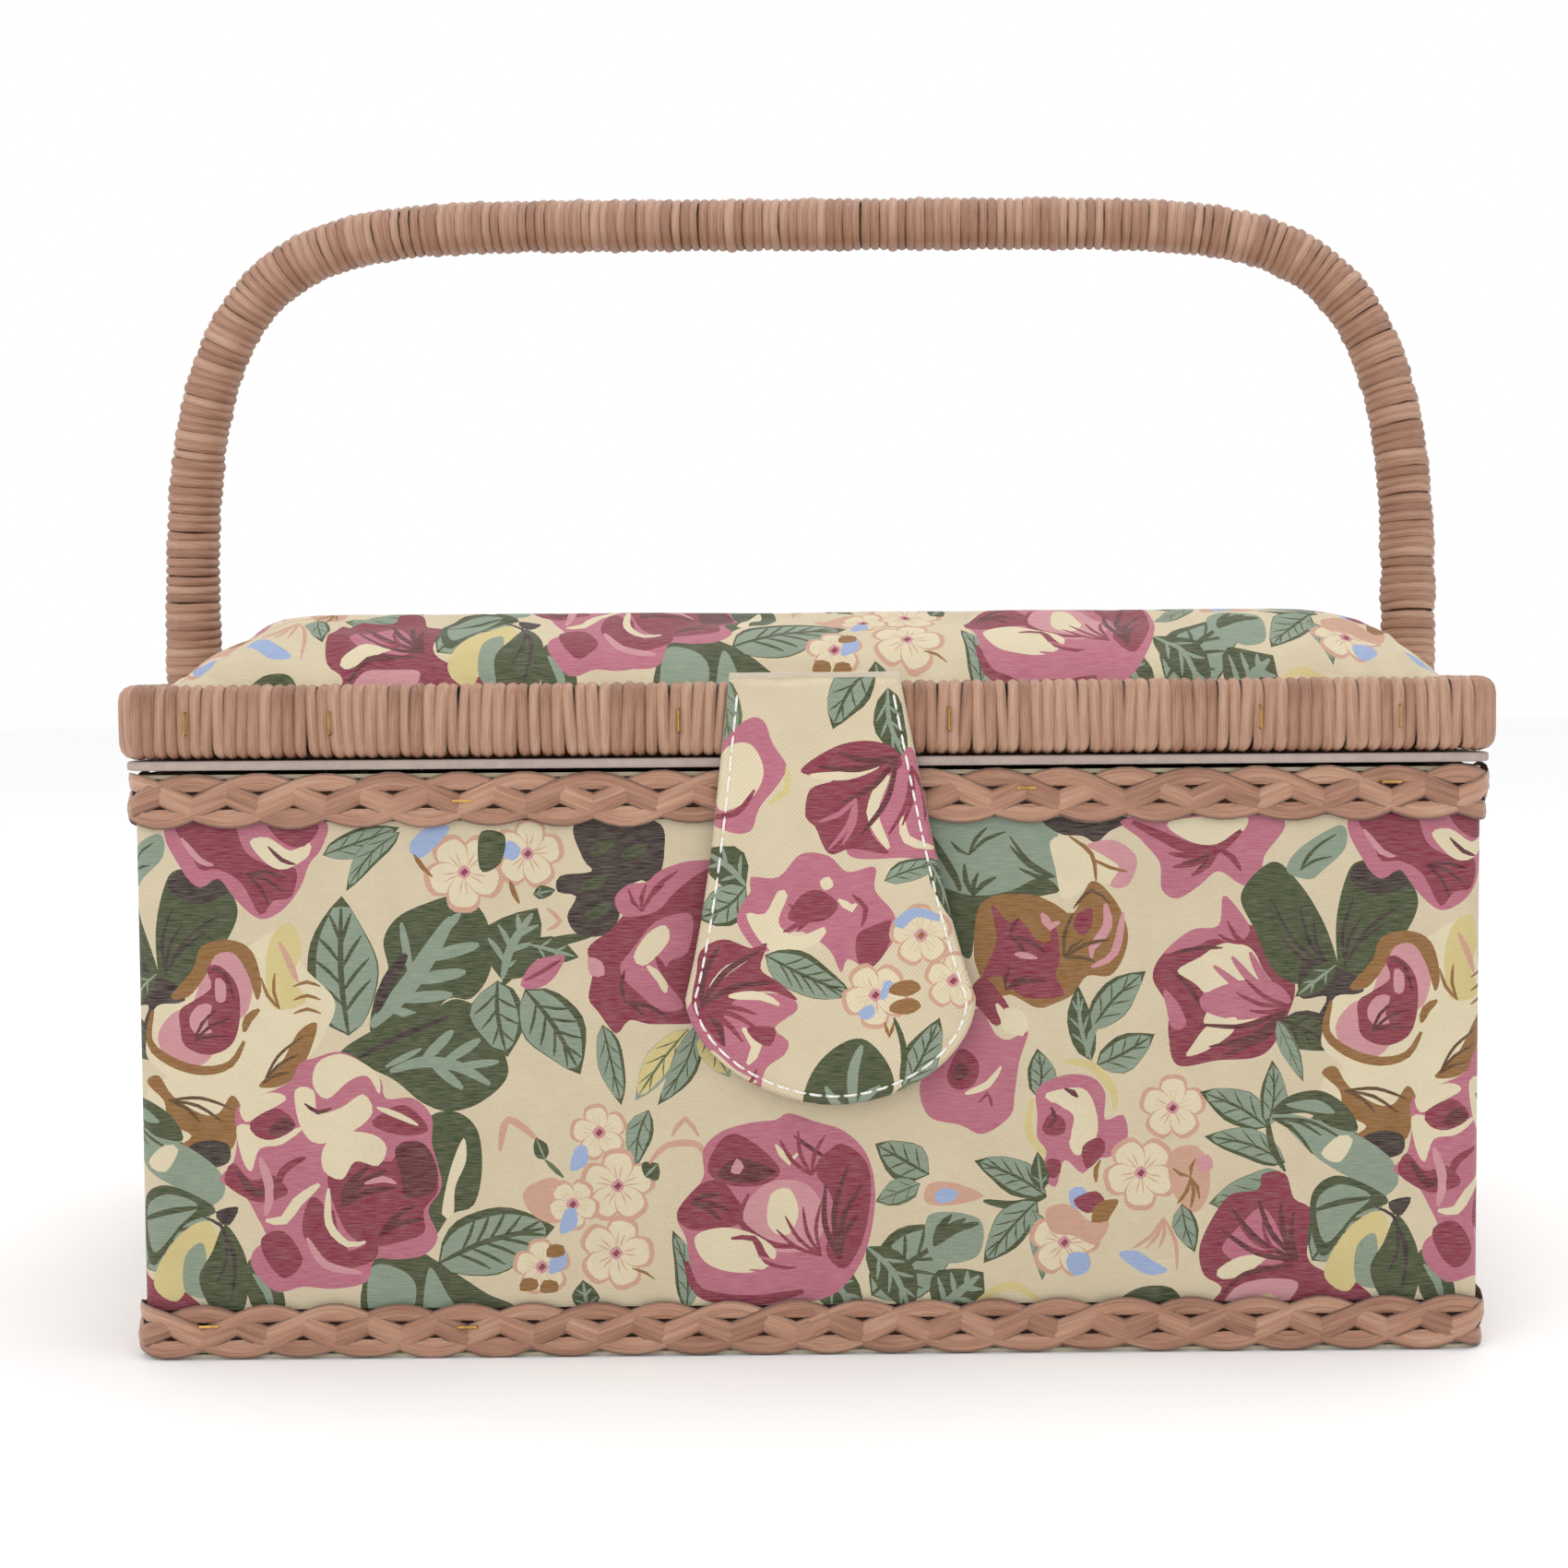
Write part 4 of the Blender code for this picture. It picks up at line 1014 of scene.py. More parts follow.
def corner_leaves(d):
    d.blob("sage", (-157, 53), (-150, 52), (-144, 50), (-137, 47), (-131, 42), (-130, 37), (-134, 34), (-138, 37),
           (-145, 41), (-150, 45))
    d.blob("green", (-158, 53), (-154, 57), (-147, 58), (-141, 54), (-139, 49), (-145, 50), (-150, 53))
    d.blob("sage", (-155, 55), (-148, 56), (-144, 53), (-150, 53.5))
    d.fan("green", 0.8, (-158, 52), ((-147, 48), (-149, 44), (-151, 47), (-142, 47)))
    d.blob("cream", (-147, 44), (-143, 48), (-140, 47), (-143, 42))
    d.blob("green", (-149, 35), (-144, 39), (-137, 37), (-132, 33), (-139, 30), (-146, 21), (-149, 26))
    d.blob("sage", (-148, 33), (-143, 37), (-136, 34.5), (-140, 30), (-146, 24))
    d.brush("green", 1.4, (-149, 31), (-143, 33), (-136, 34))
    d.blob("yellow", (-145, 21), (-140, 28), (-134, 31), (-132, 26), (-137, 19), (-141, 13), (-146, 16))
    d.blob("sage", (-139, 23), (-135, 26), (-134, 19), (-133, 14), (-139, 15))
    d.blob("green", (-130, 30), (-133, 24), (-136, 18), (-133, 11), (-127, 10), (-125, 17), (-126, 24))
    d.fan("black", 0.8, (-130, 28), ((-132, 17), (-128, 18), (-129, 13)))
    d.blob("green", (-125, 22), (-120, 21), (-117, 12), (-121, 9), (-125, 13))
    d.brush("sage", 1.8, (-124, 19), (-121, 15), (-120, 11))
    d.blob("black", (-132, 33), (-127, 34), (-129, 30), (-131, 30.5))
    d.brush("black", 0.8, (-135, 32), (-131, 30), (-130, 27))


def bud_and_leaves(d):
    d.blossom(-76, 108, 9, 0.9)
    d.blob("blue", (-88, 114), (-84, 118), (-79, 118), (-82, 114), (-86, 111))
    d.brush("ochre", 1.2, (-87, 112), (-85, 109), (-83, 107))
    d.blossom(-62, 112, 8, 0.2)
    d.blob("blue", (-68, 112), (-66, 115), (-63.5, 113), (-65, 110.5))
    d.blob("green", (-72, 117), (-67, 116), (-68, 110), (-72, 108), (-73, 112))
    d.brush("ochre", 1.3, (-66, 106), (-65, 103), (-64, 101))
    d.brush("peach", 1.2, (-58, 100), (-55, 97), (-58, 95))
    d.leaf((-61, 103), (-56, 104), 3, "green", veins=1)
    d.leaf((-68, 84), (-60, 100), 13, "green", bend=3, veins=3)
    d.brush("green", 2.6, (-68, 83), (-60, 91), (-48, 94))
    d.leaf((-62, 92), (-51, 89), 6, "green", veins=2)
    d.blob("pink", (-64, 83), (-61, 88), (-56, 89.5), (-54, 89), (-57, 84), (-61, 82))
    d.brush("burgundy", 1.0, (-63, 84), (-59, 86), (-55, 88.5))
    d.leaf((-69, 84), (-67, 67), 12, "sage", bend=-2, veins=3)
    d.leaf((-63, 82), (-51, 63), 13, "sage", bend=2, veins=4)


def dark_leaf_and_side_rose(d):
    d.blob("black", (-51, 119), (-50, 111), (-48, 108), (-55, 107), (-55.5, 103.5), (-51.5, 102.5), (-53.5, 98),
           (-51, 94), (-45, 94), (-42, 98), (-42, 103), (-37, 106), (-34, 105), (-32, 112), (-34, 119))
    for x, y in ((-46, 113), (-39, 112), (-48, 105), (-47, 99)):
        d.leaf((x - 3, y - 1), (x + 4, y + 2), 3.2, "dark", veins=1)
    d.blob("burgundy", (-49, 91), (-44, 95), (-40, 99), (-33, 100), (-28, 107), (-18, 108), (-14, 90), (-20, 76),
           (-34, 74), (-40, 75), (-43, 72), (-47, 77), (-49, 80), (-48, 86))
    d.blob("pink", (-27, 110), (-33, 108), (-36, 105.5), (-40, 105), (-43, 102), (-41, 98), (-34, 99), (-30, 103),
           (-25, 107), (-20, 110))
    d.blob("pink", (-42, 87), (-39, 91), (-35, 96), (-31, 98), (-26, 98), (-27, 90), (-31, 88), (-32, 84), (-28, 78),
           (-33, 77), (-38, 81), (-41, 84))
    d.fan("burgundy", 1.0, (-37, 99), ((-40, 104), (-36, 105), (-32, 105), (-29, 108)))
    d.blob("cream", (-39, 89), (-36, 94), (-32, 96), (-31, 93), (-34, 89), (-37, 87))
    d.brush("cream", 2.0, (-36, 87), (-33, 84), (-32, 81))
    d.brush("burgundy", 2.0, (-34, 89), (-31, 84), (-25, 80))
    d.blob("rose", (-49, 89), (-46, 88), (-45.5, 85), (-48.5, 85))
    d.fan("wine", 1.0, (-41, 79), ((-41, 86), (-37, 76), (-31, 75)))
    d.leaf((-46, 74), (-42, 56), 6, "sage", veins=3)
    d.leaf((-27, 73), (-39, 57), 7, "yellow", bend=-1, veins=3)
    d.leaf((-25, 74), (-34, 56), 6, "sage", bend=3, veins=3)
    d.leaf((-24, 73), (-18, 62), 7, "yellow", veins=2)
    d.leaf((-36, 55), (-39, 42), 6, "sage", bend=-2, veins=2)


def blossom_spray(d):
    d.brush("peach", 1.8, (-69, 46), (-67, 53), (-60, 48))
    d.leaf((-59, 44), (-61, 49), 3.5, "green", veins=0)
    d.brush("moss", 1.2, (-59, 44), (-55, 40))
    d.blob("peach", (-63, 38), (-57, 40), (-54, 36), (-56, 30), (-61, 31), (-64, 35))
    for x, y, size, turn in ((-47, 50, 6.5, 0.5), (-43, 38, 8.5, 0.3), (-53, 34, 6, 1.0), (-43.5, 23, 8.5, 1.3),
                             (-60, 20, 6.5, 0.4)):
        d.blossom(x, y, size, turn)
    for x, y in ((-51.5, 44), (-54, 30), (-56.5, 21)):
        d.blob("blue", (x - 2, y - 2.5), (x + 1.8, y - 1), (x + 1.6, y + 3), (x - 0.8, y + 2.6))
    for x, y in ((-57, 23.5), (-63, 16), (-58.5, 15.5)):
        d.blob("ochre", (x - 2, y - 1.2), (x + 1.8, y - 1), (x + 1.8, y + 1.2), (x - 1.2, y + 1.5))
    d.brush("ochre", 0.7, (-40, 19.5), (-37, 18.5), (-35, 17))
    d.leaf((-50, 10), (-51, 17), 6, "green", veins=2)
    d.leaf((-28, 10), (-31, 28), 5.5, "sage", bend=-3, veins=3)
    d.leaf((-37, 40), (-34, 43), 5, "green", veins=0)
    d.brush("peach", 1.6, (-36, 43), (-32, 47), (-25, 47), (-23, 42))
    d.brush("peach", 1.4, (-31, 49), (-28, 53), (-25, 49))


def middle_rose(d):
    d.leaf((-2, 20), (11, 8), 10, "green", bend=3, veins=3)
    d.blob("pink", (-20, 50), (-13, 52), (-8, 52.5), (-5, 54), (1, 52), (7, 50), (12, 45), (14, 37), (13, 27),
           (10, 19), (4, 13), (-6, 11), (-16, 11), (-24, 13), (-27, 20), (-28, 26), (-30, 31), (-27, 36), (-24, 40),
           (-24, 46))
    d.blob("burgundy", (-23, 41), (-21, 47), (-17, 49.5), (-11, 46), (-7, 41), (-11, 38), (-18, 38))
    d.blob("burgundy", (-30, 32), (-25, 38), (-20, 39), (-16, 34), (-13, 31), (-17, 29), (-23, 28), (-28, 28.5))
    d.blob("wine", (-21, 40), (-17, 44), (-12, 43), (-8, 41), (-13, 38.5))
    d.blob("rose", (-18, 41), (-16.5, 44), (-15, 42), (-16, 40.5))
    d.fan("wine", 1.1, (-27, 34), ((-20, 36), (-18, 32), (-20, 30)))
    d.blob("rose", (-16, 30), (-13, 36), (-8, 39), (-1, 38), (3, 31), (0, 24), (-8, 23), (-13, 26))
    d.blob("cream", (-10, 30), (-9, 36), (-5, 37), (-3, 32), (-5, 27), (-8, 27))
    d.brush("burgundy", 1.6, (-14, 36), (-16, 30), (-10, 25), (-3, 24))
    d.fan("burgundy", 0.9, (2, 22), ((-8, 28), (-6, 31), (-2, 33), (2, 34)))
    d.blob("cream", (-26, 26.5), (-20, 28.5), (-13, 27), (-8, 23), (-11, 19), (-18, 18.5), (-24, 21))
    d.brush("burgundy", 1.8, (-18, 26), (-13, 26), (-10, 21), (-3, 19))
    d.brush("burgundy", 2.6, (-28, 21), (-25, 14), (-14, 12), (-2, 14))
    d.fan("pink", 1.0, (2, 21), ((-14, 19), (-12, 22), (-8, 16), (-17, 17)))
    d.blob("burgundy", (1, 41), (6, 47), (12, 43), (13, 35), (11, 25), (7, 19), (3, 23), (5, 30), (4, 36))
    d.fan("wine", 1.3, (6, 21), ((11, 38), (8, 42), (10, 31), (3, 38)))
    d.brush("cream", 1.6, (-8, 47), (-5, 43), (-3, 45))
    d.brush("wine", 1.0, (-4, 49), (0, 46), (3, 44))
    d.fan("burgundy", 1.0, (0, 40), ((-7, 48), (-3, 50), (3, 49), (7, 47)))
    d.leaf((13, 13), (34, 28), 15, "sage", bend=2, veins=4)
    d.leaf((12, 24), (22, 8), 9, "green", bend=4, veins=3)
    d.leaf((26, 40), (14, 47), 9, "sage", veins=3)
    d.leaf((24, 38), (14, 34), 6, "pale", veins=2)


def beside_the_tab(d):
    d.blob("sage", (25, 119), (26, 108), (33, 102), (42, 102), (49, 104), (55, 103), (54, 110), (52, 119))
    d.blob("green", (24, 106), (29, 104), (36, 102), (44, 103), (51, 106), (55, 103), (52, 102), (43, 100), (37, 96),
           (35, 88), (30, 94))
    d.brush("green", 1.8, (26, 116), (32, 106), (33, 103))
    d.fan("green", 1.2, (36, 102), ((37, 107), (41, 106), (34, 109)))
    d.fan("green", 0.9, (54, 106), ((44, 115), (46, 111), (46, 108), (44, 113)))
    d.fan("green", 0.9, (35, 111), ((43, 116), (31, 114), (39, 117)))
    d.blob("black", (52, 119), (55, 115.5), (60, 115), (63, 113.5), (66, 116), (71, 119))
    d.blob("cream", (53, 114), (58, 115), (62, 112), (66, 113), (71, 109), (69, 105), (62, 104), (56, 101), (54, 108))
    d.blob("rose", (61, 113), (67, 114), (72, 110), (70, 104), (66, 104), (68, 108), (64, 111))
    d.brush("ochre", 1.0, (57, 115), (62, 111), (63, 105))
    d.brush("ochre", 0.8, (62, 110), (66, 108), (70, 107))
    d.blob("ochre", (36, 90), (37, 99), (41, 102), (49, 102), (54, 100), (58, 98), (62, 105), (67, 101), (70, 94),
           (69, 88), (66, 84), (61, 84), (58, 80), (54, 78), (50, 77), (44, 80), (40, 79), (37, 85))
    d.blob("burgundy", (40, 100), (44, 96), (49, 99), (54, 95), (55, 88), (54, 84), (56, 80), (51, 79), (46, 80),
           (42, 84), (38, 84), (41, 92))
    d.blob("ochre", (43, 99), (47, 96), (50, 92), (53, 92), (51, 100), (46, 101))
    d.fan("wine", 1.0, (44, 93), ((48, 87), (52, 89), (46, 97)))
    d.fan("wine", 1.1, (43, 81), ((44, 86), (48, 84), (52, 83)))
    d.brush("rose", 1.5, (45, 89), (48, 88.5), (50, 88))
    d.brush("rose", 2.2, (51, 98), (53, 95), (55, 96))
    d.brush("rose", 2.2, (65, 100), (65.5, 95), (62, 90), (62, 88))
    d.brush("rose", 1.8, (69, 98), (67, 89), (62, 86))
    d.blob("burgundy", (59, 98), (62, 99), (62, 95), (60, 93), (58, 95))
    d.fan("brown", 0.9, (56, 88), ((58, 98), (63, 87), (60, 92), (66, 92)))
    d.brush("brown", 0.9, (58, 99), (62, 103), (66, 100))
    d.blob("pink", (28, 66), (33, 72), (37, 77), (41, 71), (44, 70), (48, 72), (46, 65), (45, 58), (44, 53), (38, 49),
           (33, 51), (26, 53), (24, 60))
    d.blob("burgundy", (38, 84), (42, 80), (44, 76), (41, 73), (38, 76), (35, 80))
    d.brush("cream", 2.0, (41, 78), (44, 73), (47, 71))
    d.blob("cream", (43, 77), (47, 76), (48, 72), (45, 71), (42, 73))
    d.blob("burgundy", (30, 62), (33, 68), (37, 65), (36, 60), (32, 59))
    d.blob("wine", (31, 62), (33, 65), (35, 63), (33, 61))
    d.brush("cream", 1.6, (34, 58), (39, 60), (42, 64))
    d.brush("burgundy", 1.0, (37, 56), (39, 58), (40, 55))
    d.leaf((50, 57), (50, 68), 6.5, "sage", bend=-2, veins=3)
    d.leaf((62, 65), (59, 82), 6, "green", bend=2, veins=3)
    d.leaf((62, 72), (74, 85), 8, "sage", bend=2, veins=3)
    d.leaf((63, 64), (76, 71), 8, "sage", bend=-1, veins=3)
    d.brush("sage", 1.6, (61, 66), (62, 71), (64, 74))


def garland(d):
    d.brush("yellow", 2.2, (56, 65), (62, 64), (67, 58), (67, 54))
    d.brush("yellow", 1.8, (49, 57), (48, 50), (51, 45), (56, 44))
    d.blob("pink", (50, 59), (56, 62), (62, 61.5), (65, 58), (65, 52), (69, 53), (70, 48), (67, 44), (63, 43),
           (60, 40), (56, 43), (54, 37), (51, 40), (52, 45), (50, 48), (50, 53))
    d.blob("cream", (52, 58), (60, 59), (63, 54), (63, 48), (59, 44), (57, 47), (58, 53), (53, 56))
    d.blob("pink", (50, 52), (53, 56), (57, 53), (57, 47), (52, 46))
    d.blob("burgundy", (51, 50), (53, 53.5), (56, 52), (56, 49), (53, 48.5))
    d.brush("wine", 1.0, (53, 55), (54, 52), (52, 50))
    d.blob("burgundy", (60, 46), (64, 48), (65, 45), (61, 41))
    d.blob("burgundy", (52, 43), (55, 43), (55, 40), (53, 39))
    d.brush("wine", 1.4, (56, 59), (58, 58), (59, 57))
    d.leaf((52, 35), (36, 43), 8, "sage", bend=-2, veins=4)
    d.leaf((51, 36), (50, 45), 4, "green", veins=1)
    d.brush("green", 2.0, (52, 35), (45, 33), (38, 34))
    d.leaf((50, 34), (38, 20), 8, "sage", bend=-1, veins=4)
    d.leaf((49, 32), (51, 16), 5, "pale", bend=2, veins=3)
    d.blob("sage", (26, 31), (37, 30), (37, 22), (30, 20), (26, 22))
    d.fan("green", 1.8, (27, 24), ((37, 29), (34, 30), (31, 31)))
    d.leaf((27, 9), (38, 18), 13, "green", veins=3)
    d.blob("peach", (26, 38), (32, 38), (38, 35), (30, 33), (25, 34))
    d.blob("blue", (27, 35), (29, 37), (32.5, 36), (31, 34), (28, 33.5))
    for x, y, size, turn in ((80, 54.5, 7.5, 0.3), (73, 40, 8.5, 0.9), (56, 24.5, 8, 0.2)):
        d.blossom(x, y, size, turn)
    d.blob("peach", (80, 45), (85, 46), (88, 42), (88, 35), (85, 31), (81, 34), (79, 40))
    d.blob("rose", (85, 43), (88, 44), (89, 41), (86, 40))
    d.fan("ochre", 0.9, (84, 39), ((81, 33), (84, 32), (86, 34), (85, 43), (80, 41)))
    d.blob("blue", (57, 22), (61, 22), (61.5, 18.5), (58.5, 17), (56.5, 19))
    d.blob("blue", (57, 36), (60, 37), (62, 33), (58, 32))
    d.blob("burgundy", (58, 34), (63, 36), (65, 33), (61, 31))
    d.blob("ochre", (63, 33), (68, 34), (66, 30), (64, 26), (62, 28))
    d.brush("ochre", 1.2, (63, 38), (63, 41), (64, 43))
    d.blob("peach", (52, 32), (57, 33), (62, 29), (66, 29), (63, 24), (58, 26), (53, 27))
    d.blob("blue", (68, 22), (72, 22.5), (76, 20), (79, 18), (75, 17), (71, 19))
    d.fan("peach", 0.9, (78, 30), ((71, 23), (74, 23), (77, 23), (81, 18)))
    d.leaf((82, 33), (85, 22), 5.5, "sage", bend=-1, veins=2)
    d.blob("green", (67, 9), (72, 14), (80, 14), (82, 8))
    d.brush("yellow", 2.0, (36, 11), (44, 15), (51, 11))


def tulip(d):
    d.blob("burgundy", (75.5, 83.5), (78, 89), (84, 92), (90, 93), (93, 97), (97, 95), (102, 90), (106, 85),
           (107, 80), (105, 74), (102, 68), (98, 65.5), (90, 65), (81, 64), (79, 71), (79, 77))
    d.blob("pink", (78, 89), (84, 94), (90, 95), (91, 101.5), (94, 99), (97, 94), (94, 91), (89, 92), (84, 90))
    d.blob("pink", (78, 81), (81, 78), (83, 73), (80, 72), (78.5, 77))
    d.blob("cream", (81, 85), (86, 88), (91, 91), (97, 90), (100, 85), (103, 80), (100, 75), (94, 73), (87, 73),
           (88, 78), (85, 82))
    d.blob("pink", (86, 79), (92, 82), (98, 83), (103, 82), (106, 78), (101, 75), (94, 74), (87, 76))
    d.fan("pink", 2.0, (106, 78), ((89, 86), (93, 88), (97, 89), (87, 80)))
    d.blob("burgundy", (97, 95), (102, 91), (107, 82), (104, 82), (99, 88))
    d.fan("burgundy", 1.0, (106, 77), ((94, 80), (96, 83), (97, 76)))
    d.blob("cream", (84, 68), (88, 73), (94, 74.5), (93, 71), (87, 67), (83, 66))
    d.fan("wine", 1.1, (105, 76), ((88, 68), (93, 68), (97, 68), (86, 73), (91, 66)))
    d.brush("wine", 1.2, (80, 85), (84, 81), (86, 77))
    d.brush("wine", 1.0, (80, 89), (86, 90), (91, 90))
    d.fan("burgundy", 0.9, (96, 91), ((92, 96), (93, 93), (90, 93)))


def upper_rose(d):
    d.blob("pink", (70, 119), (73, 114), (77, 109), (77.5, 103), (81, 101), (86, 104), (90, 107), (95, 104), (99, 104),
           (100, 110), (103, 119))
    d.blob("cream", (79, 118), (84, 113.5), (92, 113), (96, 119))
    d.brush("burgundy", 2.6, (71, 118), (77, 115), (84, 112), (90, 112), (95, 116))
    d.fan("burgundy", 1.4, (90, 112), ((80, 108), (84, 106), (95, 107), (79, 111)))
    d.fan("wine", 0.8, (88, 111), ((82, 109), (85, 107)))


def lower_rose(d):
    d.leaf((101, 50), (86, 58), 8, "sage", bend=-2, veins=3)
    d.leaf((101, 50), (102, 65), 6, "sage", bend=-2, veins=3)
    d.leaf((105, 42), (87, 48), 7, "sage", bend=-3, veins=3)
    d.leaf((104, 40), (88, 33), 9, "pale", bend=4, veins=3)
    d.brush("green", 1.6, (101, 52), (102, 46), (105, 40))
    d.blob("burgundy", (86, 23), (89, 30), (93, 35), (99, 36), (100, 39.5), (105, 39.5), (107, 34), (111, 31),
           (110, 21), (114, 17.5), (121, 15), (123, 9), (90, 8), (91, 14), (87, 17))
    d.blob("pink", (91, 23), (95, 28), (100, 32), (104, 26), (105, 20), (99, 19), (94, 20))
    d.blob("cream", (90, 18), (95, 21), (101, 21), (96, 17), (91, 16))
    d.blob("rose", (91, 8), (94, 14), (101, 16), (108, 15), (105, 10), (100, 7))
    d.blob("yellow", (96, 8), (99, 12), (103, 12), (101, 7))
    d.fan("wine", 1.3, (108, 20), ((99, 34), (104, 33), (93, 32), (107, 31), (91, 27)))
    d.brush("wine", 1.2, (91, 12), (96, 17), (107, 19))
    d.fan("burgundy", 0.9, (103, 22), ((95, 28), (100, 29), (97, 23)))
    d.leaf((111, 20), (128, 36), 12, "sage", bend=3, veins=4)
    d.leaf((108, 47), (122, 50), 10, "sage", veins=3)


WALL_PARTS = (left_leaves, top_rose, big_leaves, ochre_rose, corner_leaves, cabbage_rose, bud_and_leaves,
              dark_leaf_and_side_rose, blossom_spray, middle_rose, beside_the_tab, garland, tulip, upper_rose,
              lower_rose)


def wall_design():
    design = Design()
    for part in WALL_PARTS:
        part(design)
    return design


def tab_design():
    """The tab's own piece of the print, in the same millimetres."""
    d = Design()
    d.leaf((14, 153), (5, 139), 9, "sage", bend=-3, veins=3)
    d.leaf((17, 148), (21, 132), 7, "green", bend=-3, veins=3)
    d.leaf((-19, 151), (-17, 134), 7, "pale", veins=3)
    d.blob("pink", (-21, 133), (-14, 141), (-10, 141), (-8, 136), (-5, 131), (-7, 127), (-11, 122), (-13, 117),
           (-18, 117), (-23, 121))
    d.blob("cream", (-19, 134), (-13, 136), (-10, 130), (-13, 124), (-20, 122))
    d.brush("burgundy", 1.4, (-23, 120), (-16, 121), (-12, 126))
    d.brush("yellow", 1.6, (-5, 131), (-5, 126), (-9, 123))
    d.blob("pink", (19, 132), (22, 135), (25, 127), (29, 112), (20, 111), (8, 112), (13, 124))
    d.blob("burgundy", (-2, 130), (5, 135), (12, 136.5), (18, 135), (20, 131), (15, 128), (12.5, 122), (13.5, 116),
           (17, 112), (9, 113), (4, 112), (1, 118), (-1, 120), (0, 126), (5, 128))
    d.brush("cream", 2.0, (0, 129), (8, 129), (15, 131))
    d.brush("cream", 2.6, (17, 129), (13.5, 121), (17, 113))
    d.brush("cream", 2.0, (20, 120), (21, 115), (27, 113))
    d.fan("wine", 1.3, (19, 133), ((2, 131), (6, 134), (7, 123), (11, 116)))
    d.fan("pink", 1.1, (10, 124), ((4, 113), (7, 114), (2, 119)))
    d.fan("burgundy", 1.0, (22, 131), ((17, 116), (20, 118), (25, 119)))
    d.leaf((-14, 105), (-24, 113), 9, "green", bend=-2, veins=2)
    d.leaf((-14, 105), (-25, 98), 9, "sage", bend=3, veins=3)
    d.leaf((16, 106), (29, 110), 5, "sage", bend=1, veins=3)
    d.leaf((26, 110), (31, 97), 4, "green", bend=1, veins=2)
    d.blob("pink", (-2, 112), (4, 111.5), (8, 108), (14, 109), (14, 104), (18, 99), (18.5, 94), (15, 89), (12, 87),
           (8, 89), (6.5, 86), (4, 91), (-2, 95), (-6, 94), (-9, 91), (-12, 91), (-16, 97), (-15, 101), (-13, 104),
           (-13, 107), (-7, 107))
    d.blob("cream", (-14, 99), (-10, 99), (-7, 104), (-5, 103), (-7, 97), (-3, 94), (3, 96), (2, 93), (-6, 90),
           (-11, 93))
    d.blob("burgundy", (-5, 98), (-2, 103), (2, 104), (6, 101), (4, 98), (0, 97))
    d.fan("burgundy", 1.2, (0, 100), ((-6, 95), (-3, 95), (-5, 101)))
    d.blob("burgundy", (10, 94), (13, 96), (18, 97), (16, 90), (12, 86.5), (10, 89))
    d.blob("cream", (2, 106), (4, 107), (5, 105), (3, 104))
    d.brush("cream", 1.8, (6, 102), (9, 100), (10, 101))
    d.brush("burgundy", 1.2, (9, 103), (12, 100), (11, 96))
    d.leaf((-10, 90), (9, 81), 9, "sage", bend=-1, veins=5)
    d.blob("pink", (-26, 80), (-20, 84), (-12, 82), (-5, 81), (-3, 78), (-8, 74), (-5, 71), (-6, 68), (-10, 65),
           (-12, 59), (-17, 60), (-22, 68), (-27, 75))
    d.blob("burgundy", (-25, 86), (-24, 91), (-19, 93.5), (-13, 91.5), (-9.5, 92.5), (-11, 87), (-7, 84), (-3, 80),
           (-9, 82), (-15, 81), (-19, 77), (-19, 70), (-23, 74), (-26, 79))
    d.brush("cream", 1.8, (-22, 83), (-18, 87), (-14, 89))
    d.fan("wine", 1.4, (-24, 79), ((-11, 91), (-20, 92), (-8, 84), (-19, 70)))
    d.brush("cream", 2.0, (-18, 81), (-11, 81), (-7, 79))
    d.fan("burgundy", 1.2, (-24, 78), ((-12, 77), (-12, 74), (-15, 71)))
    d.brush("cream", 2.4, (-15, 74), (-12, 70), (-14, 66))
    d.blob("burgundy", (-14, 74), (-8, 74), (-9, 70), (-12, 71))
    d.brush("cream", 1.8, (-22, 69), (-17, 64), (-12, 62))
    d.brush("burgundy", 1.0, (-18, 61), (-14, 61), (-12, 65))
    d.blossom(24, 94, 7, 0.4, heart="ochre")
    d.blob("blue", (18, 97), (22, 100), (27, 99), (28, 97), (23, 98), (20, 95.5))
    d.blossom(14, 81, 7.5, 0.9)
    d.blob("blue", (15, 80), (16, 84), (18, 83.5), (16, 80))
    d.blob("blue", (10, 77), (13, 79), (14, 77), (12, 75.5))
    for y in (82.5, 78.5):
        d.blob("ochre", (17, y - 1), (21, y - 1.8), (24, y), (22, y + 1.8), (18, y + 1))
    d.blossom(31, 84, 6.5, 0.2)
    d.brush("ochre", 1.0, (16, 75), (17, 72), (18, 75))
    d.blob("green", (-2, 57), (0, 64), (5, 69.5), (11, 71.5), (16, 67), (18, 61), (15, 56), (8, 52), (0, 52))
    d.brush("sage", 2.4, (11, 70), (9, 64), (9, 55))
    d.fan("sage", 2.0, (9, 54), ((3, 61), (15, 61), (0, 57)))
    d.leaf((20, 60), (28, 76), 8, "sage", bend=-1, veins=4)
    d.brush("green", 1.4, (20, 62), (20, 70), (18, 76))
    d.leaf((18, 58), (26, 62), 4, "pale", veins=2)
    return d


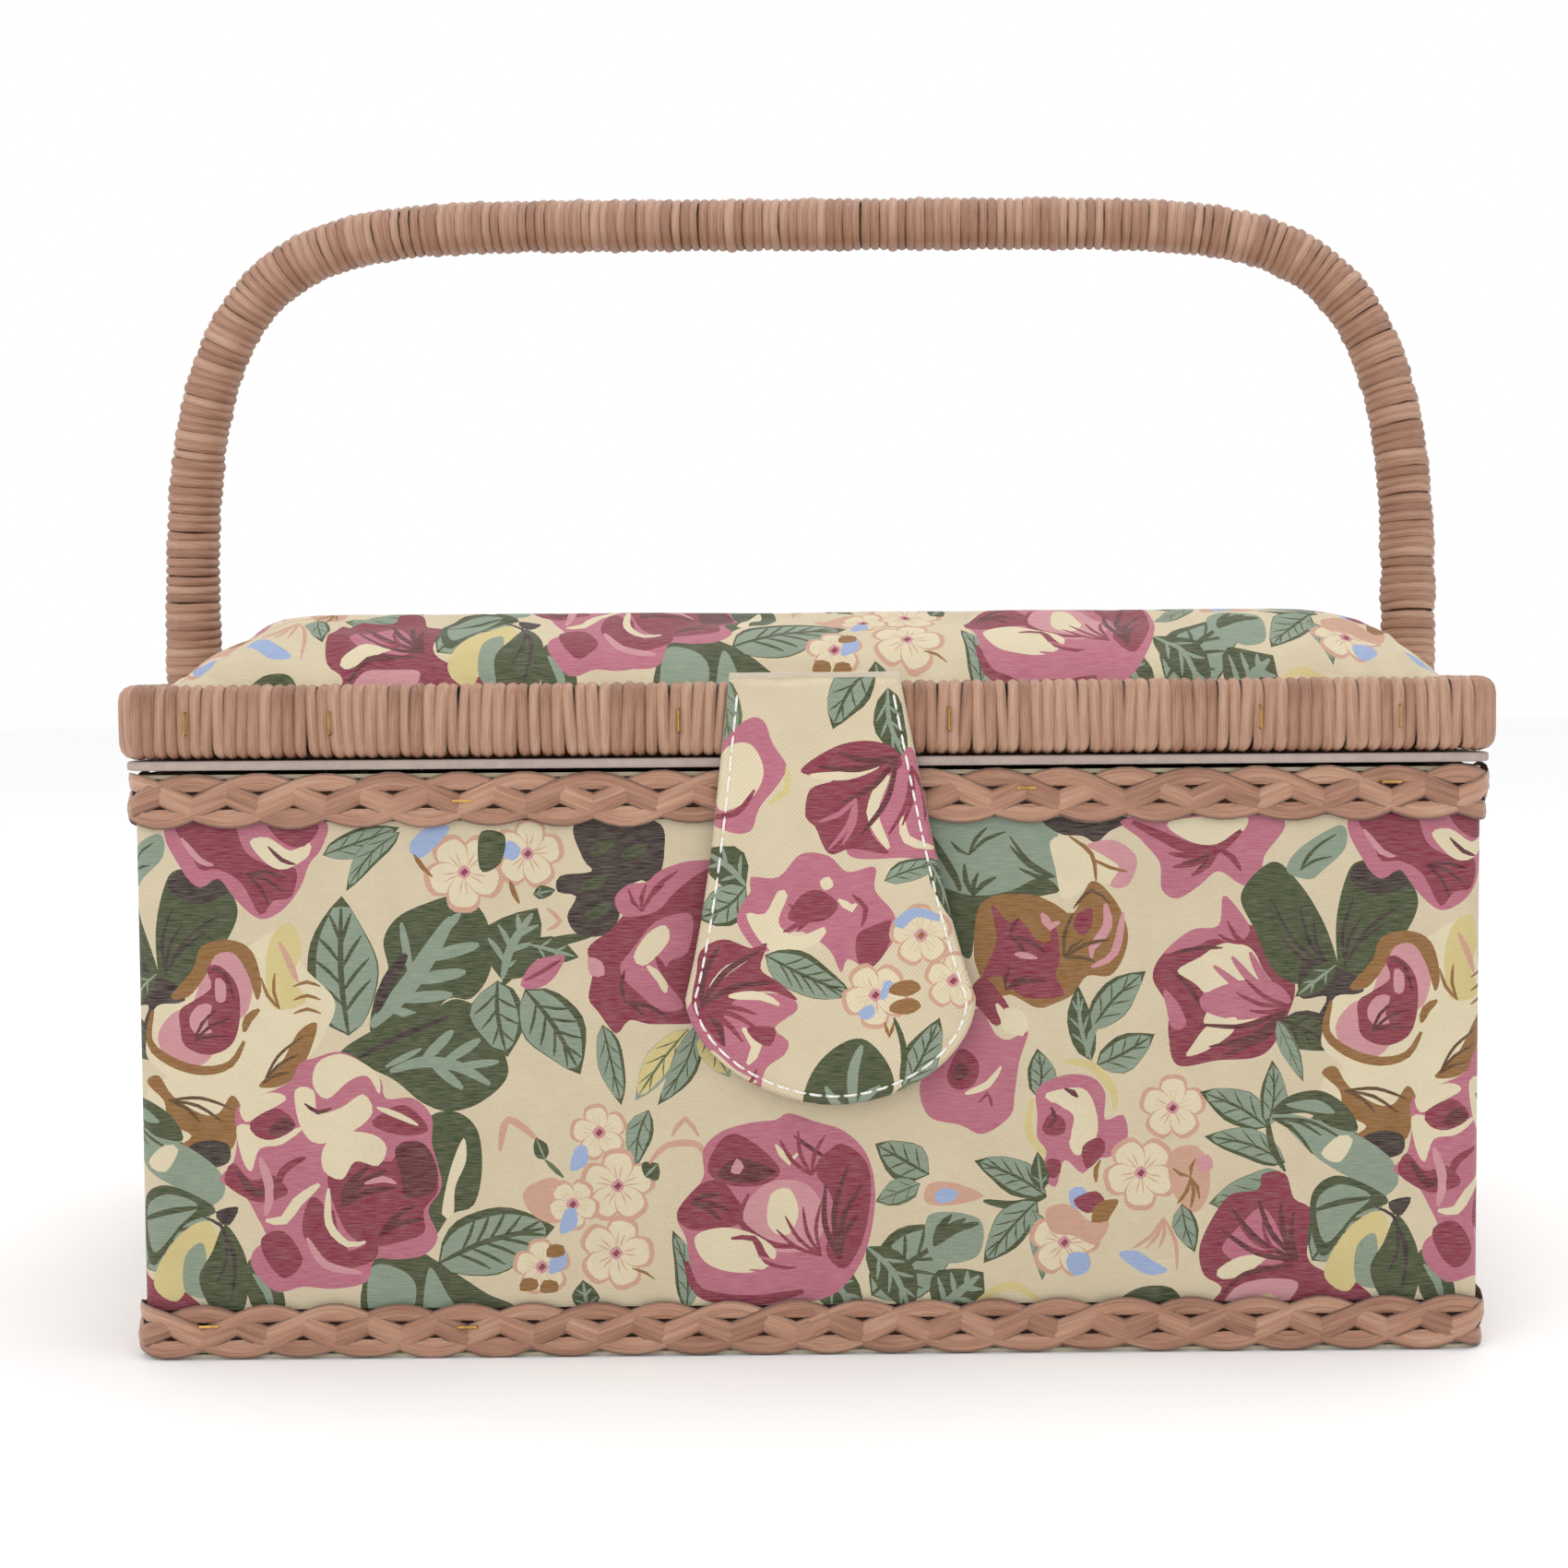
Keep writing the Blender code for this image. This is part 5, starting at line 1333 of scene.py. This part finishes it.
def painted(name, outline, shapes, unit, guides=(), dots=()):
    """A flat bmesh cut along every painted shape, with the print's colours on its faces. Sizes are millimetres."""
    spots, rings = [], []
    for tone, line in [("ground", outline)] + list(shapes):
        rings.append(list(range(len(spots), len(spots) + len(line))))
        turning = sum(a[0] * b[1] - b[0] * a[1] for a, b in zip(line, list(line[1:]) + [line[0]]))
        spots += [Vector(point) for point in (line if turning > 0 else line[::-1])]
    edges = []
    for start, end in guides:
        edges.append((len(spots), len(spots) + 1))
        spots += [Vector(start), Vector(end)]
    spots += [Vector(dot) for dot in dots]
    tones = ["ground"] + [tone for tone, line in shapes]
    found, _, faces, _, _, owners = geometry.delaunay_2d_cdt(spots, edges, rings, 1, 1e-4, True)
    kept = [(face, max(owner)) for face, owner in zip(faces, owners) if 0 in owner]
    mesh = bpy.data.meshes.new(name)
    mesh.from_pydata([(p.x * unit, p.y * unit, 0) for p in found], [], [face for face, top in kept])
    mesh.attributes.new("print", "FLOAT_COLOR", "CORNER")
    shades = {tone: (*linear(*colour), 1) for tone, colour in TONES.items()}
    sheet = mesh.uv_layers.new(name="UVMap")
    paint = mesh.attributes["print"]  # fetched after the UV layer, which moves it
    for polygon, (_, top) in zip(mesh.polygons, kept):
        for loop in polygon.loop_indices:
            paint.data[loop].color = shades[tones[top]]
            spot = mesh.vertices[mesh.loops[loop].vertex_index].co
            sheet.data[loop].uv = (spot.x, spot.y)
    bm = bmesh.new()
    bm.from_mesh(mesh)
    bpy.data.meshes.remove(mesh)
    bmesh.ops.delete(bm, geom=[v for v in bm.verts if not v.link_faces], context="VERTS")
    return face_up(bm)


def face_up(bm):
    for face in bm.faces:
        face.normal_update()
    bmesh.ops.reverse_faces(bm, faces=[face for face in bm.faces if face.normal.z < 0])
    return bm


def painted_strips(name, low, high, shapes, guides=(), dots=(), width=38.0):
    """A rectangle of print, cut strip by strip to keep it quick, as one welded bmesh."""
    count = math.ceil((high[0] - low[0]) / width)
    whole = bmesh.new()
    for index in range(count):
        near = low[0] + (high[0] - low[0]) * index / count
        far = low[0] + (high[0] - low[0]) * (index + 1) / count
        strip = painted(
            name, box_outline(near, far, low[1], high[1]), inside(shapes, near, far, low[1], high[1]), MM,
            [g for g in guides if max(g[0][0], g[1][0]) >= near and min(g[0][0], g[1][0]) <= far],
            [d for d in dots if near < d[0] < far])
        part = mesh_of(strip, name)
        whole.from_mesh(part)
        bpy.data.meshes.remove(part)
    bmesh.ops.remove_doubles(whole, verts=whole.verts, dist=2e-6)
    return face_up(whole)


def box_outline(low_x, high_x, low_y, high_y):
    return [Vector((low_x, low_y)), Vector((high_x, low_y)), Vector((high_x, high_y)), Vector((low_x, high_y))]


def inside(shapes, low_x, high_x, low_y, high_y):
    """Only the shapes that reach into a rectangle."""
    kept = []
    for tone, line in shapes:
        if (max(p.x for p in line) > low_x and min(p.x for p in line) < high_x
                and max(p.y for p in line) > low_y and min(p.y for p in line) < high_y):
            kept.append((tone, line))
    return kept


class BOX_OT_cover(bpy.types.Operator):
    """Printed cotton stretched round the four walls"""

    bl_idname = "sewing_box.cover"
    bl_label = "Wall cover"

    def execute(self, context):
        cloth = context.scene.box_cloth
        half_x, half_y = COVER_HIGH.x, COVER_HIGH.y
        length = perimeter(half_x, half_y, COVER_CORNER)
        half, low, high = length / MM / 2, COVER_LOW.z / MM, COVER_HIGH.z / MM
        design = wall_design()
        shapes = []
        for repeat in range(-2, 3):
            shapes += inside(design.moved(repeat * REPEAT, 0), -half, half, low, high)
        arc = math.pi / 2 * COVER_CORNER / MM
        straight = (half_x - COVER_CORNER) / MM
        guides = []
        for start in (straight, half - straight - arc):
            for k in range(7):
                for at in (start + arc * k / 6, -start - arc * k / 6):
                    guides.append(((at, low), (at, high)))
        bm = painted_strips("wall_cover", (-half, low), (half, high), shapes, guides)
        hole = Vector((length / 4, PIVOT_Z))
        bmesh.ops.delete(bm, context="FACES", geom=[
            f for f in bm.faces if (Vector((abs(f.calc_center_median().x), f.calc_center_median().y)) - hole).length
            < 2.5 * MM])
        for vert in bm.verts:
            edge, out = around(half_x, half_y, COVER_CORNER, vert.co.x)
            vert.co = Vector((edge.x, edge.y, vert.co.y)) - out * 0.05 * MM
        bmesh.ops.remove_doubles(bm, verts=bm.verts, dist=1e-6)
        mesh = mesh_of(bm, "wall_cover")
        printed = cloth_material("printed_cotton_wall", cloth.yarn)
        cover = as_piece("wall_cover", mesh, printed, "root", ("outer_cover",), smooth=60)
        return {"FINISHED"}


def puffed(grid, pressure, cap, pinned):
    """Blows a grid up with a short cloth run, its pinned points held, and moves no point by more than cap."""
    scene = bpy.context.scene
    rest = [vert.co.copy() for vert in grid.data.vertices]
    group = grid.vertex_groups.new(name="pins")
    group.add(pinned, 1.0, "REPLACE")
    cloth = grid.modifiers.new("Puff", "CLOTH")
    cloth.settings.quality = 5
    cloth.settings.vertex_group_mass = "pins"
    cloth.settings.effector_weights.gravity = 0
    cloth.settings.use_pressure = True
    cloth.settings.uniform_pressure_force = pressure
    cloth.settings.shrink_min = -0.035
    cloth.collision_settings.use_self_collision = False
    cloth.point_cache.frame_start = 1
    cloth.point_cache.frame_end = 20
    for number in range(1, 21):
        scene.frame_set(number)
    done = bpy.data.meshes.new_from_object(grid.evaluated_get(bpy.context.evaluated_depsgraph_get()))
    scene.frame_set(1)
    grid.modifiers.clear()
    for vert, before, after in zip(grid.data.vertices, rest, done.vertices):
        vert.co.z = before.z + min(max(after.co.z - before.z, -cap), cap)
    bpy.data.meshes.remove(done)


def padded_top(name, low, high, edge_z, crown, roll, across, along, pressure=4.0, ruck=0.0005):
    """A domed, puffed surface over a rectangle, as a dense bmesh to lay a print on. crown may hang down."""
    half = Vector(((high[0] - low[0]) / 2, (high[1] - low[1]) / 2))
    middle = Vector(((high[0] + low[0]) / 2, (high[1] + low[1]) / 2))
    bm = bmesh.new()
    bmesh.ops.create_grid(bm, x_segments=across, y_segments=along, size=1)
    pinned = []
    for vert in bm.verts:
        if max(abs(vert.co.x), abs(vert.co.y)) > 0.999:
            pinned.append(vert.index)
        x = math.sin(vert.co.x * math.pi / 2) * half.x
        y = math.sin(vert.co.y * math.pi / 2) * half.y
        inner_x, inner_y = half.x - abs(x), half.y - abs(y)
        rise = (1 - math.exp(-inner_x / roll)) * (1 - math.exp(-inner_y / roll))
        near = math.exp(-((min(inner_x, inner_y) - 0.6 * roll) / (0.7 * roll)) ** 2)
        fold = noise.noise(Vector((x * 95, y * 95, 3.7))) * ruck * near * 1.6
        vert.co = (middle.x + x, middle.y + y, edge_z + (crown - edge_z) * rise + math.copysign(fold, crown - edge_z))
    grid = bpy.data.objects.new(name + "_grid", mesh_of(bm, name + "_grid"))
    bpy.context.scene.collection.objects.link(grid)
    if crown < edge_z:
        grid.data.flip_normals()
    puffed(grid, pressure, 1.3 * MM, pinned)
    bm = bmesh.new()
    bm.from_mesh(grid.data)
    bmesh.ops.subdivide_edges(bm, edges=bm.edges, cuts=1, use_grid_fill=True, smooth=0.6)
    data = grid.data
    bpy.data.objects.remove(grid)
    bpy.data.meshes.remove(data)
    lowest, highest = sorted((edge_z, crown))
    for vert in bm.verts:
        vert.co.z = min(max(vert.co.z, lowest - 0.2 * MM), highest)
    bm.normal_update()
    return bm


def print_on(name, surface, shapes, low, high, spacing, down=False):
    """Lays a flat print, given in millimetres round the rectangle's middle, on a padded surface, with its normals."""
    tree = BVHTree.FromBMesh(surface)
    surface.faces.ensure_lookup_table()
    half = Vector(((high[0] - low[0]) / 2, (high[1] - low[1]) / 2)) / MM
    middle = Vector(((high[0] + low[0]) / 2, (high[1] + low[1]) / 2))
    dots = []
    for i in range(int(2 * half.x / spacing) + 1):
        for j in range(int(2 * half.y / spacing) + 1):
            x, y = -half.x + spacing * (i + 0.5), -half.y + spacing * (j + 0.5)
            if abs(x) < half.x - 1 and abs(y) < half.y - 1:
                dots.append((x, y))
    guides = []
    for step in (0.8, 2.0, 4.0, 7.0):
        corners = [(-half.x + step, -half.y + step), (half.x - step, -half.y + step),
                   (half.x - step, half.y - step), (-half.x + step, half.y - step)]
        for a, b in zip(corners, corners[1:] + corners[:1]):
            count = max(2, round((Vector(b) - Vector(a)).length / (spacing * 0.8)))
            rim = [Vector(a).lerp(Vector(b), k / count) for k in range(count + 1)]
            guides += list(zip(rim, rim[1:]))
    bm = painted_strips(name, -half, half, shapes, guides, dots)
    ray = Vector((0, 0, 1 if down else -1))
    normals = []
    for vert in bm.verts:
        x = min(max(vert.co.x, -half.x * MM + 0.02 * MM), half.x * MM - 0.02 * MM) + middle.x
        y = min(max(vert.co.y, -half.y * MM + 0.02 * MM), half.y * MM - 0.02 * MM) + middle.y
        hit, _, index, _ = tree.ray_cast(Vector((x, y, 0.1 if down else 0.3)), ray)
        if hit is None:
            hit, _, index, _ = tree.find_nearest(Vector((x, y, 0.1 if down else 0.16)))
        normal = normal_at(surface.faces[index], hit)
        vert.co = hit
        normals.append(-normal if normal.z * ray.z > 0 else normal)
    if down:
        bmesh.ops.reverse_faces(bm, faces=bm.faces)
    return mesh_of(bm, name), normals


def normal_at(face, place):
    """A face's vertex normals blended by how near each vertex is."""
    total = Vector((0, 0, 0))
    for vert in face.verts:
        total += vert.normal / max((vert.co - place).length, 1e-5)
    return total.normalized()


class BOX_OT_pad(bpy.types.Operator):
    """Padded and printed top of the lid"""

    bl_idname = "sewing_box.pad"
    bl_label = "Padded top"

    def execute(self, context):
        cloth = context.scene.box_cloth
        low, high = PAD_LOW.xy, PAD_HIGH.xy
        edge_z = RIM_HIGH.z - 1.1 * MM
        surface = padded_top("pad", low, high, edge_z, PAD_HIGH.z - 0.1 * MM, 9.5 * MM, 92, 66)
        design = wall_design()
        shapes = []
        for repeat in (-1, 0, 1):
            shapes += design.moved(repeat * REPEAT + 66, -112)
            shapes += design.moved(repeat * REPEAT - 64, -5)
        mesh, normals = print_on("pad_cover", surface, shapes, low, high, 5.0)
        surface.free()
        printed = cloth_material("printed_cotton_pad", cloth.yarn)
        cover = as_piece("pad_cover", mesh, printed, "lid", ("lid_cover", "lid_foam"), smooth=180)
        mesh.normals_split_custom_set_from_vertices(normals)
        return {"FINISHED"}


def tab_side(z):
    """Half the tab's width at a height, in metres, and its middle's shift in x."""
    top, shoulder, bottom = TAB_TOP_Z, TAB_SHOULDER_Z, TAB_LOW.z
    shift = TAB_LEAN * (top - z) / (top - bottom)
    if z > shoulder:
        share = (top - z) / (top - shoulder)
        return TAB_TOP_HALF + (TAB_SHOULDER_HALF - TAB_TOP_HALF) * (0.8 * share + 0.2 * share ** 4), shift
    share = min((shoulder - z) / (shoulder - bottom), 1.0)
    return TAB_SHOULDER_HALF * (1 - share ** 1.85) ** 0.54, shift


def tab_ring(inset):
    """The tab's outline on the box's front, in millimetres, from one side of its top round to the other."""
    steps = 26
    heights = [TAB_TOP_Z - (TAB_TOP_Z - TAB_SHOULDER_Z) * k / steps for k in range(steps + 1)]
    right = [Vector((TAB_MIDDLE + tab_side(z)[1] + tab_side(z)[0] - inset, z)) for z in heights]
    foot_middle = Vector((TAB_MIDDLE + tab_side(TAB_SHOULDER_Z)[1], TAB_SHOULDER_Z))
    foot = []
    for k in range(1, 24):
        angle = math.pi * k / 24
        x = (TAB_SHOULDER_HALF - inset) * math.copysign(abs(math.cos(angle)) ** 1.08, math.cos(angle))
        z = -(TAB_SHOULDER_Z - TAB_LOW.z - inset) * math.sin(angle) ** 1.08
        lean = TAB_LEAN * -z / (TAB_TOP_Z - TAB_LOW.z)
        foot.append(foot_middle + Vector((x + lean, z)))
    left = [Vector((TAB_MIDDLE + tab_side(z)[1] - tab_side(z)[0] + inset, z)) for z in heights[::-1]]
    return [point / MM for point in right + foot + left]


class BOX_OT_tab(bpy.types.Operator):
    """Printed closing tab, stitched round its edge"""

    bl_idname = "sewing_box.tab"
    bl_label = "Closing tab"

    def execute(self, context):
        cloth = context.scene.box_cloth
        back, front = TAB_BACK_Y, TAB_LOW.y
        outer = tab_ring(0)
        top = TAB_TOP_Z / MM
        strip = [Vector((outer[-1].x, top + TAB_OVER / MM)), Vector((outer[0].x, top + TAB_OVER / MM))]
        outline = strip + outer
        guides = []
        for inset in (0.4, 1.0, 1.8, 2.2, 2.6, 3.6, 5.5, 9.0):
            ring = tab_ring(inset * MM)
            guides += list(zip(ring, ring[1:]))
        for extra in (0, 0.8, 1.6, 2.6, 3.5):
            guides.append(((outer[-1].x, top + extra), (outer[0].x, top + extra)))
        dots = [(x * 3.0, top - 3 - z * 3.0) for x in range(-10, 12) for z in range(30)]
        bm = painted("tab_cover", outline, tab_design().shapes, MM, guides, dots)
        rings = [(a.xy * MM, b.xy * MM) for a, b in zip(outer, outer[1:])]
        thick = (back - front) - 0.35 * MM

        def depth(inset):
            """How far the face stands off the back: a rolled edge, the seam's groove and a soft middle."""
            rolled = min(1.0, inset / (0.9 * MM)) ** 0.5
            groove = math.exp(-((inset - TAB_SEAM) / (0.55 * MM)) ** 2)
            return thick * (0.30 + 0.55 * rolled + 0.15 * min(1, inset / (7 * MM))) - 0.42 * MM * groove

        border = [e for e in bm.edges if e.is_boundary]
        for vert in bm.verts:
            x, z = vert.co.x, vert.co.y
            spot = Vector((x, z))
            inset = min((spot - nearest_on(spot, a, b)).length for a, b in rings)
            if z > TAB_TOP_Z:
                inset = min(abs(x - outer[0].x * MM), abs(x - outer[-1].x * MM))
            off = depth(inset) + 0.10 * MM * noise.noise(Vector((x * 90, z * 90, 1)))
            over = z - (TAB_TOP_Z - TAB_BEND)
            if over <= 0:
                vert.co = (x, back - off, z)
            else:
                angle = min(over / TAB_BEND, math.pi / 2)
                far = max(0.0, over - TAB_BEND * math.pi / 2)
                outside = TAB_BEND - TAB_BEND_BACK + min(off, 1.5 * MM)
                centre = Vector((0, back + TAB_BEND - TAB_BEND_BACK, TAB_TOP_Z - TAB_BEND - 1.0 * MM))
                vert.co = (x, centre.y - outside * math.cos(angle) + far,
                           centre.z + outside * math.sin(angle) + 1.0 * MM * math.cos(angle) ** 2)
        for vert in border_skirt(bm, border):
            if vert.co.z < TAB_TOP_Z - 2.5 * MM:
                vert.co.y = back - 0.05 * MM
            else:
                vert.co.z -= 0.9 * MM
                vert.co.y = min(vert.co.y + 0.8 * MM, back + 6 * MM)
        bmesh.ops.recalc_face_normals(bm, faces=bm.faces)
        mesh = mesh_of(bm, "tab_cover")
        printed = cloth_material("printed_cotton_tab", cloth.yarn, twill=True)
        cover = as_piece("tab_cover", mesh, printed, None, ("tab_face", "tab_wadding", "tab_root"),
                         smooth=50)
        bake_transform(cover)

        ring = tab_ring(TAB_SEAM)
        length = sum((b - a).length for a, b in zip(ring, ring[1:])) * MM
        count = round(length / cloth.stitch)
        line = through(ring, closed=False, spacing=0.8)
        steps = len(line) - 1
        stitches = []
        for index in range(count):
            share = (index + 0.5) / count
            half = 0.34 / count
            stitch = []
            for k in range(5):
                at = (share + half * (k - 2) / 2 * 1.15) * steps
                here = line[int(at)].lerp(line[min(int(at) + 1, steps)], at % 1) * MM
                dip = 0.40 * MM if k in (0, 4) else (0.05 * MM if k in (1, 3) else -0.03 * MM)
                y = back - depth(TAB_SEAM) - 0.16 * MM + dip
                if here.y > TAB_TOP_Z - 2.4 * MM:
                    break
                stitch.append(((here.x, y, here.y), 1, 0))
            if len(stitch) == 5:
                stitches.append(stitch)
        white, tree, shader = new_material("white_thread", 0.6, sockets=(("Sheen Weight", 0.2),))
        ply = noise_node(tree, coordinates(tree, "Object", (1, 1, 1)), 2600, 2)
        tree.links.new(ramp(tree, ply, ((0.35, tuple(c * 0.72 for c in cloth.thread)), (0.6, tuple(cloth.thread)))),
                       shader.inputs["Base Color"])
        thread = sweep("tab_stitches", round_profile(0.30 * MM, 6), stitches)
        as_piece("tab_stitches", thread, white, "tab")
        lining = cloth_material("tab_lining", cloth.yarn, tuple(cloth.lining), "Object")
        softened("tab_backing", "tab_back", 0.15 * MM, lining, "tab", 1)
        return {"FINISHED"}


def border_skirt(bm, border):
    """Extrudes border edges in place and returns the new vertices."""
    made = bmesh.ops.extrude_edge_only(bm, edges=border)["geom"]
    return [item for item in made if isinstance(item, bmesh.types.BMVert)]


def nearest_on(spot, a, b):
    """The point of a segment nearest to spot."""
    along = b - a
    share = max(0.0, min(1.0, (spot - a).dot(along) / max(along.length_squared, 1e-12)))
    return a + along * share


class BOX_OT_lid_inside(bpy.types.Operator):
    """Lining board, pin cushion and gathered pocket under the lid"""

    bl_idname = "sewing_box.lid_inside"
    bl_label = "Inside of the lid"

    def execute(self, context):
        cloth = context.scene.box_cloth
        lip = cloth_material("lip_cotton", cloth.yarn, tuple(cloth.lip), "Object")
        softened("lid_lining_board", "lid_lining", 0.5 * MM, lip, "lid", 2)
        plain = cloth_material("lid_plain_cotton", cloth.yarn, tuple(cloth.lining), "Object")

        low, high = span("pin_cushion")
        surface = padded_top("cushion", low.xy, high.xy, high.z - 4 * MM, low.z, 9.0 * MM, 44, 36, 6.0, 0.0004)
        design = wall_design()
        shapes = design.moved(98, -66) + design.moved(98 - REPEAT, -66)
        mesh, _ = print_on("cushion_cover", surface, shapes, low.xy, high.xy, 4.0, down=True)
        surface.free()
        bm = bmesh.new()
        bm.from_mesh(mesh)
        for vert in border_skirt(bm, [e for e in bm.edges if e.is_boundary]):
            vert.co.z = high.z - 0.05 * MM
        bmesh.ops.holes_fill(bm, edges=[e for e in bm.edges if e.is_boundary])
        bmesh.ops.recalc_face_normals(bm, faces=bm.faces)
        bm.to_mesh(mesh)
        bm.free()
        printed = cloth_material("printed_cotton_cushion", cloth.yarn)
        cushion = as_piece("cushion_cover", mesh, printed, "lid", ("pin_cushion",), smooth=60)

        low, high = span("lid_pocket")
        elastic_low, elastic_high = span("pocket_elastic")
        bm = bmesh.new()
        bmesh.ops.create_grid(bm, x_segments=150, y_segments=60, size=1)
        sheet = bm.loops.layers.uv.new("UVMap")
        half = Vector(((high.x - low.x) / 2, (high.y - low.y) / 2))
        middle = (low + high) / 2
        places = {}
        for vert in bm.verts:
            u, v = vert.co.x, vert.co.y
            places[vert] = (u * half.x * 1.4, v * half.y)
            inner = (1 - abs(u) ** 6) * (1 - max(0.0, v) ** 8)
            mouth = math.exp(-(v + 1) * 1.6)
            waves = math.sin(u * 46 + 3 * noise.noise(Vector((u * 4, v * 1.2, 2)))) * mouth
            soft = noise.noise(Vector((u * 3, v * 2, 9))) * (1 - mouth)
            drop = inner * (1.9 * MM + 0.75 * MM * waves + 0.8 * MM * soft * (1 - abs(v)) ** 0.5)
            vert.co = (middle.x + u * half.x, middle.y + v * half.y, high.z - 0.5 * MM - max(drop, 0))
        for face in bm.faces:
            for loop in face.loops:
                loop[sheet].uv = places[loop.vert]
        bmesh.ops.reverse_faces(bm, faces=bm.faces)
        gathered = cloth_material("pocket_cotton", cloth.yarn, tuple(cloth.lining))
        pocket = as_piece("pocket_cloth", mesh_of(bm, "pocket_cloth"), gathered, "lid",
                          ("lid_pocket",), smooth=180)

        bm = bmesh.new()
        bmesh.ops.create_grid(bm, x_segments=170, y_segments=10, size=1)
        wide, deep = (elastic_high - elastic_low).x / 2, (elastic_high - elastic_low).y / 2
        centre = (elastic_high + elastic_low) / 2
        for vert in bm.verts:
            u, v = vert.co.x, vert.co.y
            swell = math.sqrt(max(0.0, 1 - v * v))
            wave = math.sin(u * 60 + noise.noise(Vector((u * 5, 0, 4))) * 3)
            drop = swell * (2.4 * MM + 0.55 * MM * wave) * (1 - abs(u) ** 14)
            vert.co = (centre.x + u * wide, centre.y + v * deep * (1 - 0.08 * (1 + wave)),
                       elastic_high.z - 0.1 * MM - drop)
        bmesh.ops.reverse_faces(bm, faces=bm.faces)
        as_piece("pocket_band", mesh_of(bm, "pocket_band"), plain, "lid", ("pocket_elastic",),
                 smooth=180)
        return {"FINISHED"}


class BOX_OT_inside(bpy.types.Operator):
    """Linings, ledges, boards and the lift-out trays"""

    bl_idname = "sewing_box.inside"
    bl_label = "Inside and trays"

    def execute(self, context):
        cloth, fittings = context.scene.box_cloth, context.scene.box_fittings
        plain = cloth_material("plain_cotton_lining", cloth.yarn, tuple(cloth.lining), "Object")
        for node in ("wall_lining", "floor_lining"):
            softened(node, node + "_cloth", 0.12 * MM, plain, "root", 1)
        for node in ("ledge_front", "ledge_back"):
            softened(node, node + "_cloth", 0.8 * MM, plain, "root", 3, 0.1 * MM)
        board = board_material("fibreboard", linear(150, 122, 88), linear(104, 80, 54))
        for node, body in (("base_board", "root"), ("front_board", "root"), ("back_board", "root"),
                           ("left_board", "root"), ("right_board", "root"), ("lid_board", "lid")):
            softened(node, node + "_wood", 0.3 * MM, board, body, 1)
        card = board_material("base_card", linear(206, 198, 182), linear(178, 168, 150), 700)
        softened("base_cover", "base_card", 0.2 * MM, card, "root", 1)
        cane = board_material("cane", linear(176, 136, 88), linear(140, 100, 58), 400)
        softened("handle_cane", "cane", 0.2 * MM, cane, "handle", 1)
        moulded = plastic_material("tray_plastic", tuple(fittings.tray))
        for node in ("tray_left", "tray_right"):
            softened(node, node + "_moulding", 0.45 * MM, moulded, node, 2)
        return {"FINISHED"}


class BOX_OT_fittings(bpy.types.Operator):
    """Hinges, screws, bolts and the magnetic snap"""

    bl_idname = "sewing_box.fittings"
    bl_label = "Fittings"

    def execute(self, context):
        fittings = context.scene.box_fittings
        brass = metal_material("brass", tuple(fittings.brass), 0.28)
        steel = metal_material("snap_steel", tuple(fittings.steel), 0.26)
        bodies = frame["record"]["behaviour"]["bodies"]
        for body, nodes in bodies.items():
            for node in nodes:
                if node.startswith(("hinge_", "pivot_")):
                    softened(node, node + "_metal", fittings.bevel, brass, body, 2)
                elif node.endswith("_snap"):
                    softened(node, node + "_metal", fittings.bevel, steel, body, 2)
        return {"FINISHED"}


class BOX_PT_looks(bpy.types.Panel):
    """Buttons that build the sewing box's looks"""

    bl_idname = "BOX_PT_looks"
    bl_label = "Sewing Box"
    bl_space_type = "VIEW_3D"
    bl_region_type = "UI"
    bl_category = "Sewing Box"

    def draw(self, context):
        layout = self.layout
        for operator in OPERATORS:
            layout.operator(operator.bl_idname, text=operator.bl_label)
        for key, group in SETTINGS.items():
            section = layout.box()
            section.label(text=group.__doc__)
            for prop in group.__annotations__:
                section.prop(getattr(context.scene, key), prop)


OPERATORS = (
    BOX_OT_stage, BOX_OT_rim, BOX_OT_braids, BOX_OT_handle, BOX_OT_cover, BOX_OT_pad, BOX_OT_tab,
    BOX_OT_lid_inside, BOX_OT_inside, BOX_OT_fittings)


def register():
    for group in SETTINGS.values():
        bpy.utils.register_class(group)
    for operator in OPERATORS:
        bpy.utils.register_class(operator)
    bpy.utils.register_class(BOX_PT_looks)
    for key, group in SETTINGS.items():
        setattr(bpy.types.Scene, key, PointerProperty(type=group))


def unregister():
    for key in SETTINGS:
        delattr(bpy.types.Scene, key)
    bpy.utils.unregister_class(BOX_PT_looks)
    for operator in reversed(OPERATORS):
        bpy.utils.unregister_class(operator)
    for group in reversed(SETTINGS.values()):
        bpy.utils.unregister_class(group)


def main():
    register()
    for step in (bpy.ops.sewing_box.stage, bpy.ops.sewing_box.rim, bpy.ops.sewing_box.braids,
                 bpy.ops.sewing_box.handle, bpy.ops.sewing_box.cover, bpy.ops.sewing_box.pad,
                 bpy.ops.sewing_box.tab, bpy.ops.sewing_box.lid_inside, bpy.ops.sewing_box.inside,
                 bpy.ops.sewing_box.fittings):
        step()


if __name__ == "__main__":
    main()
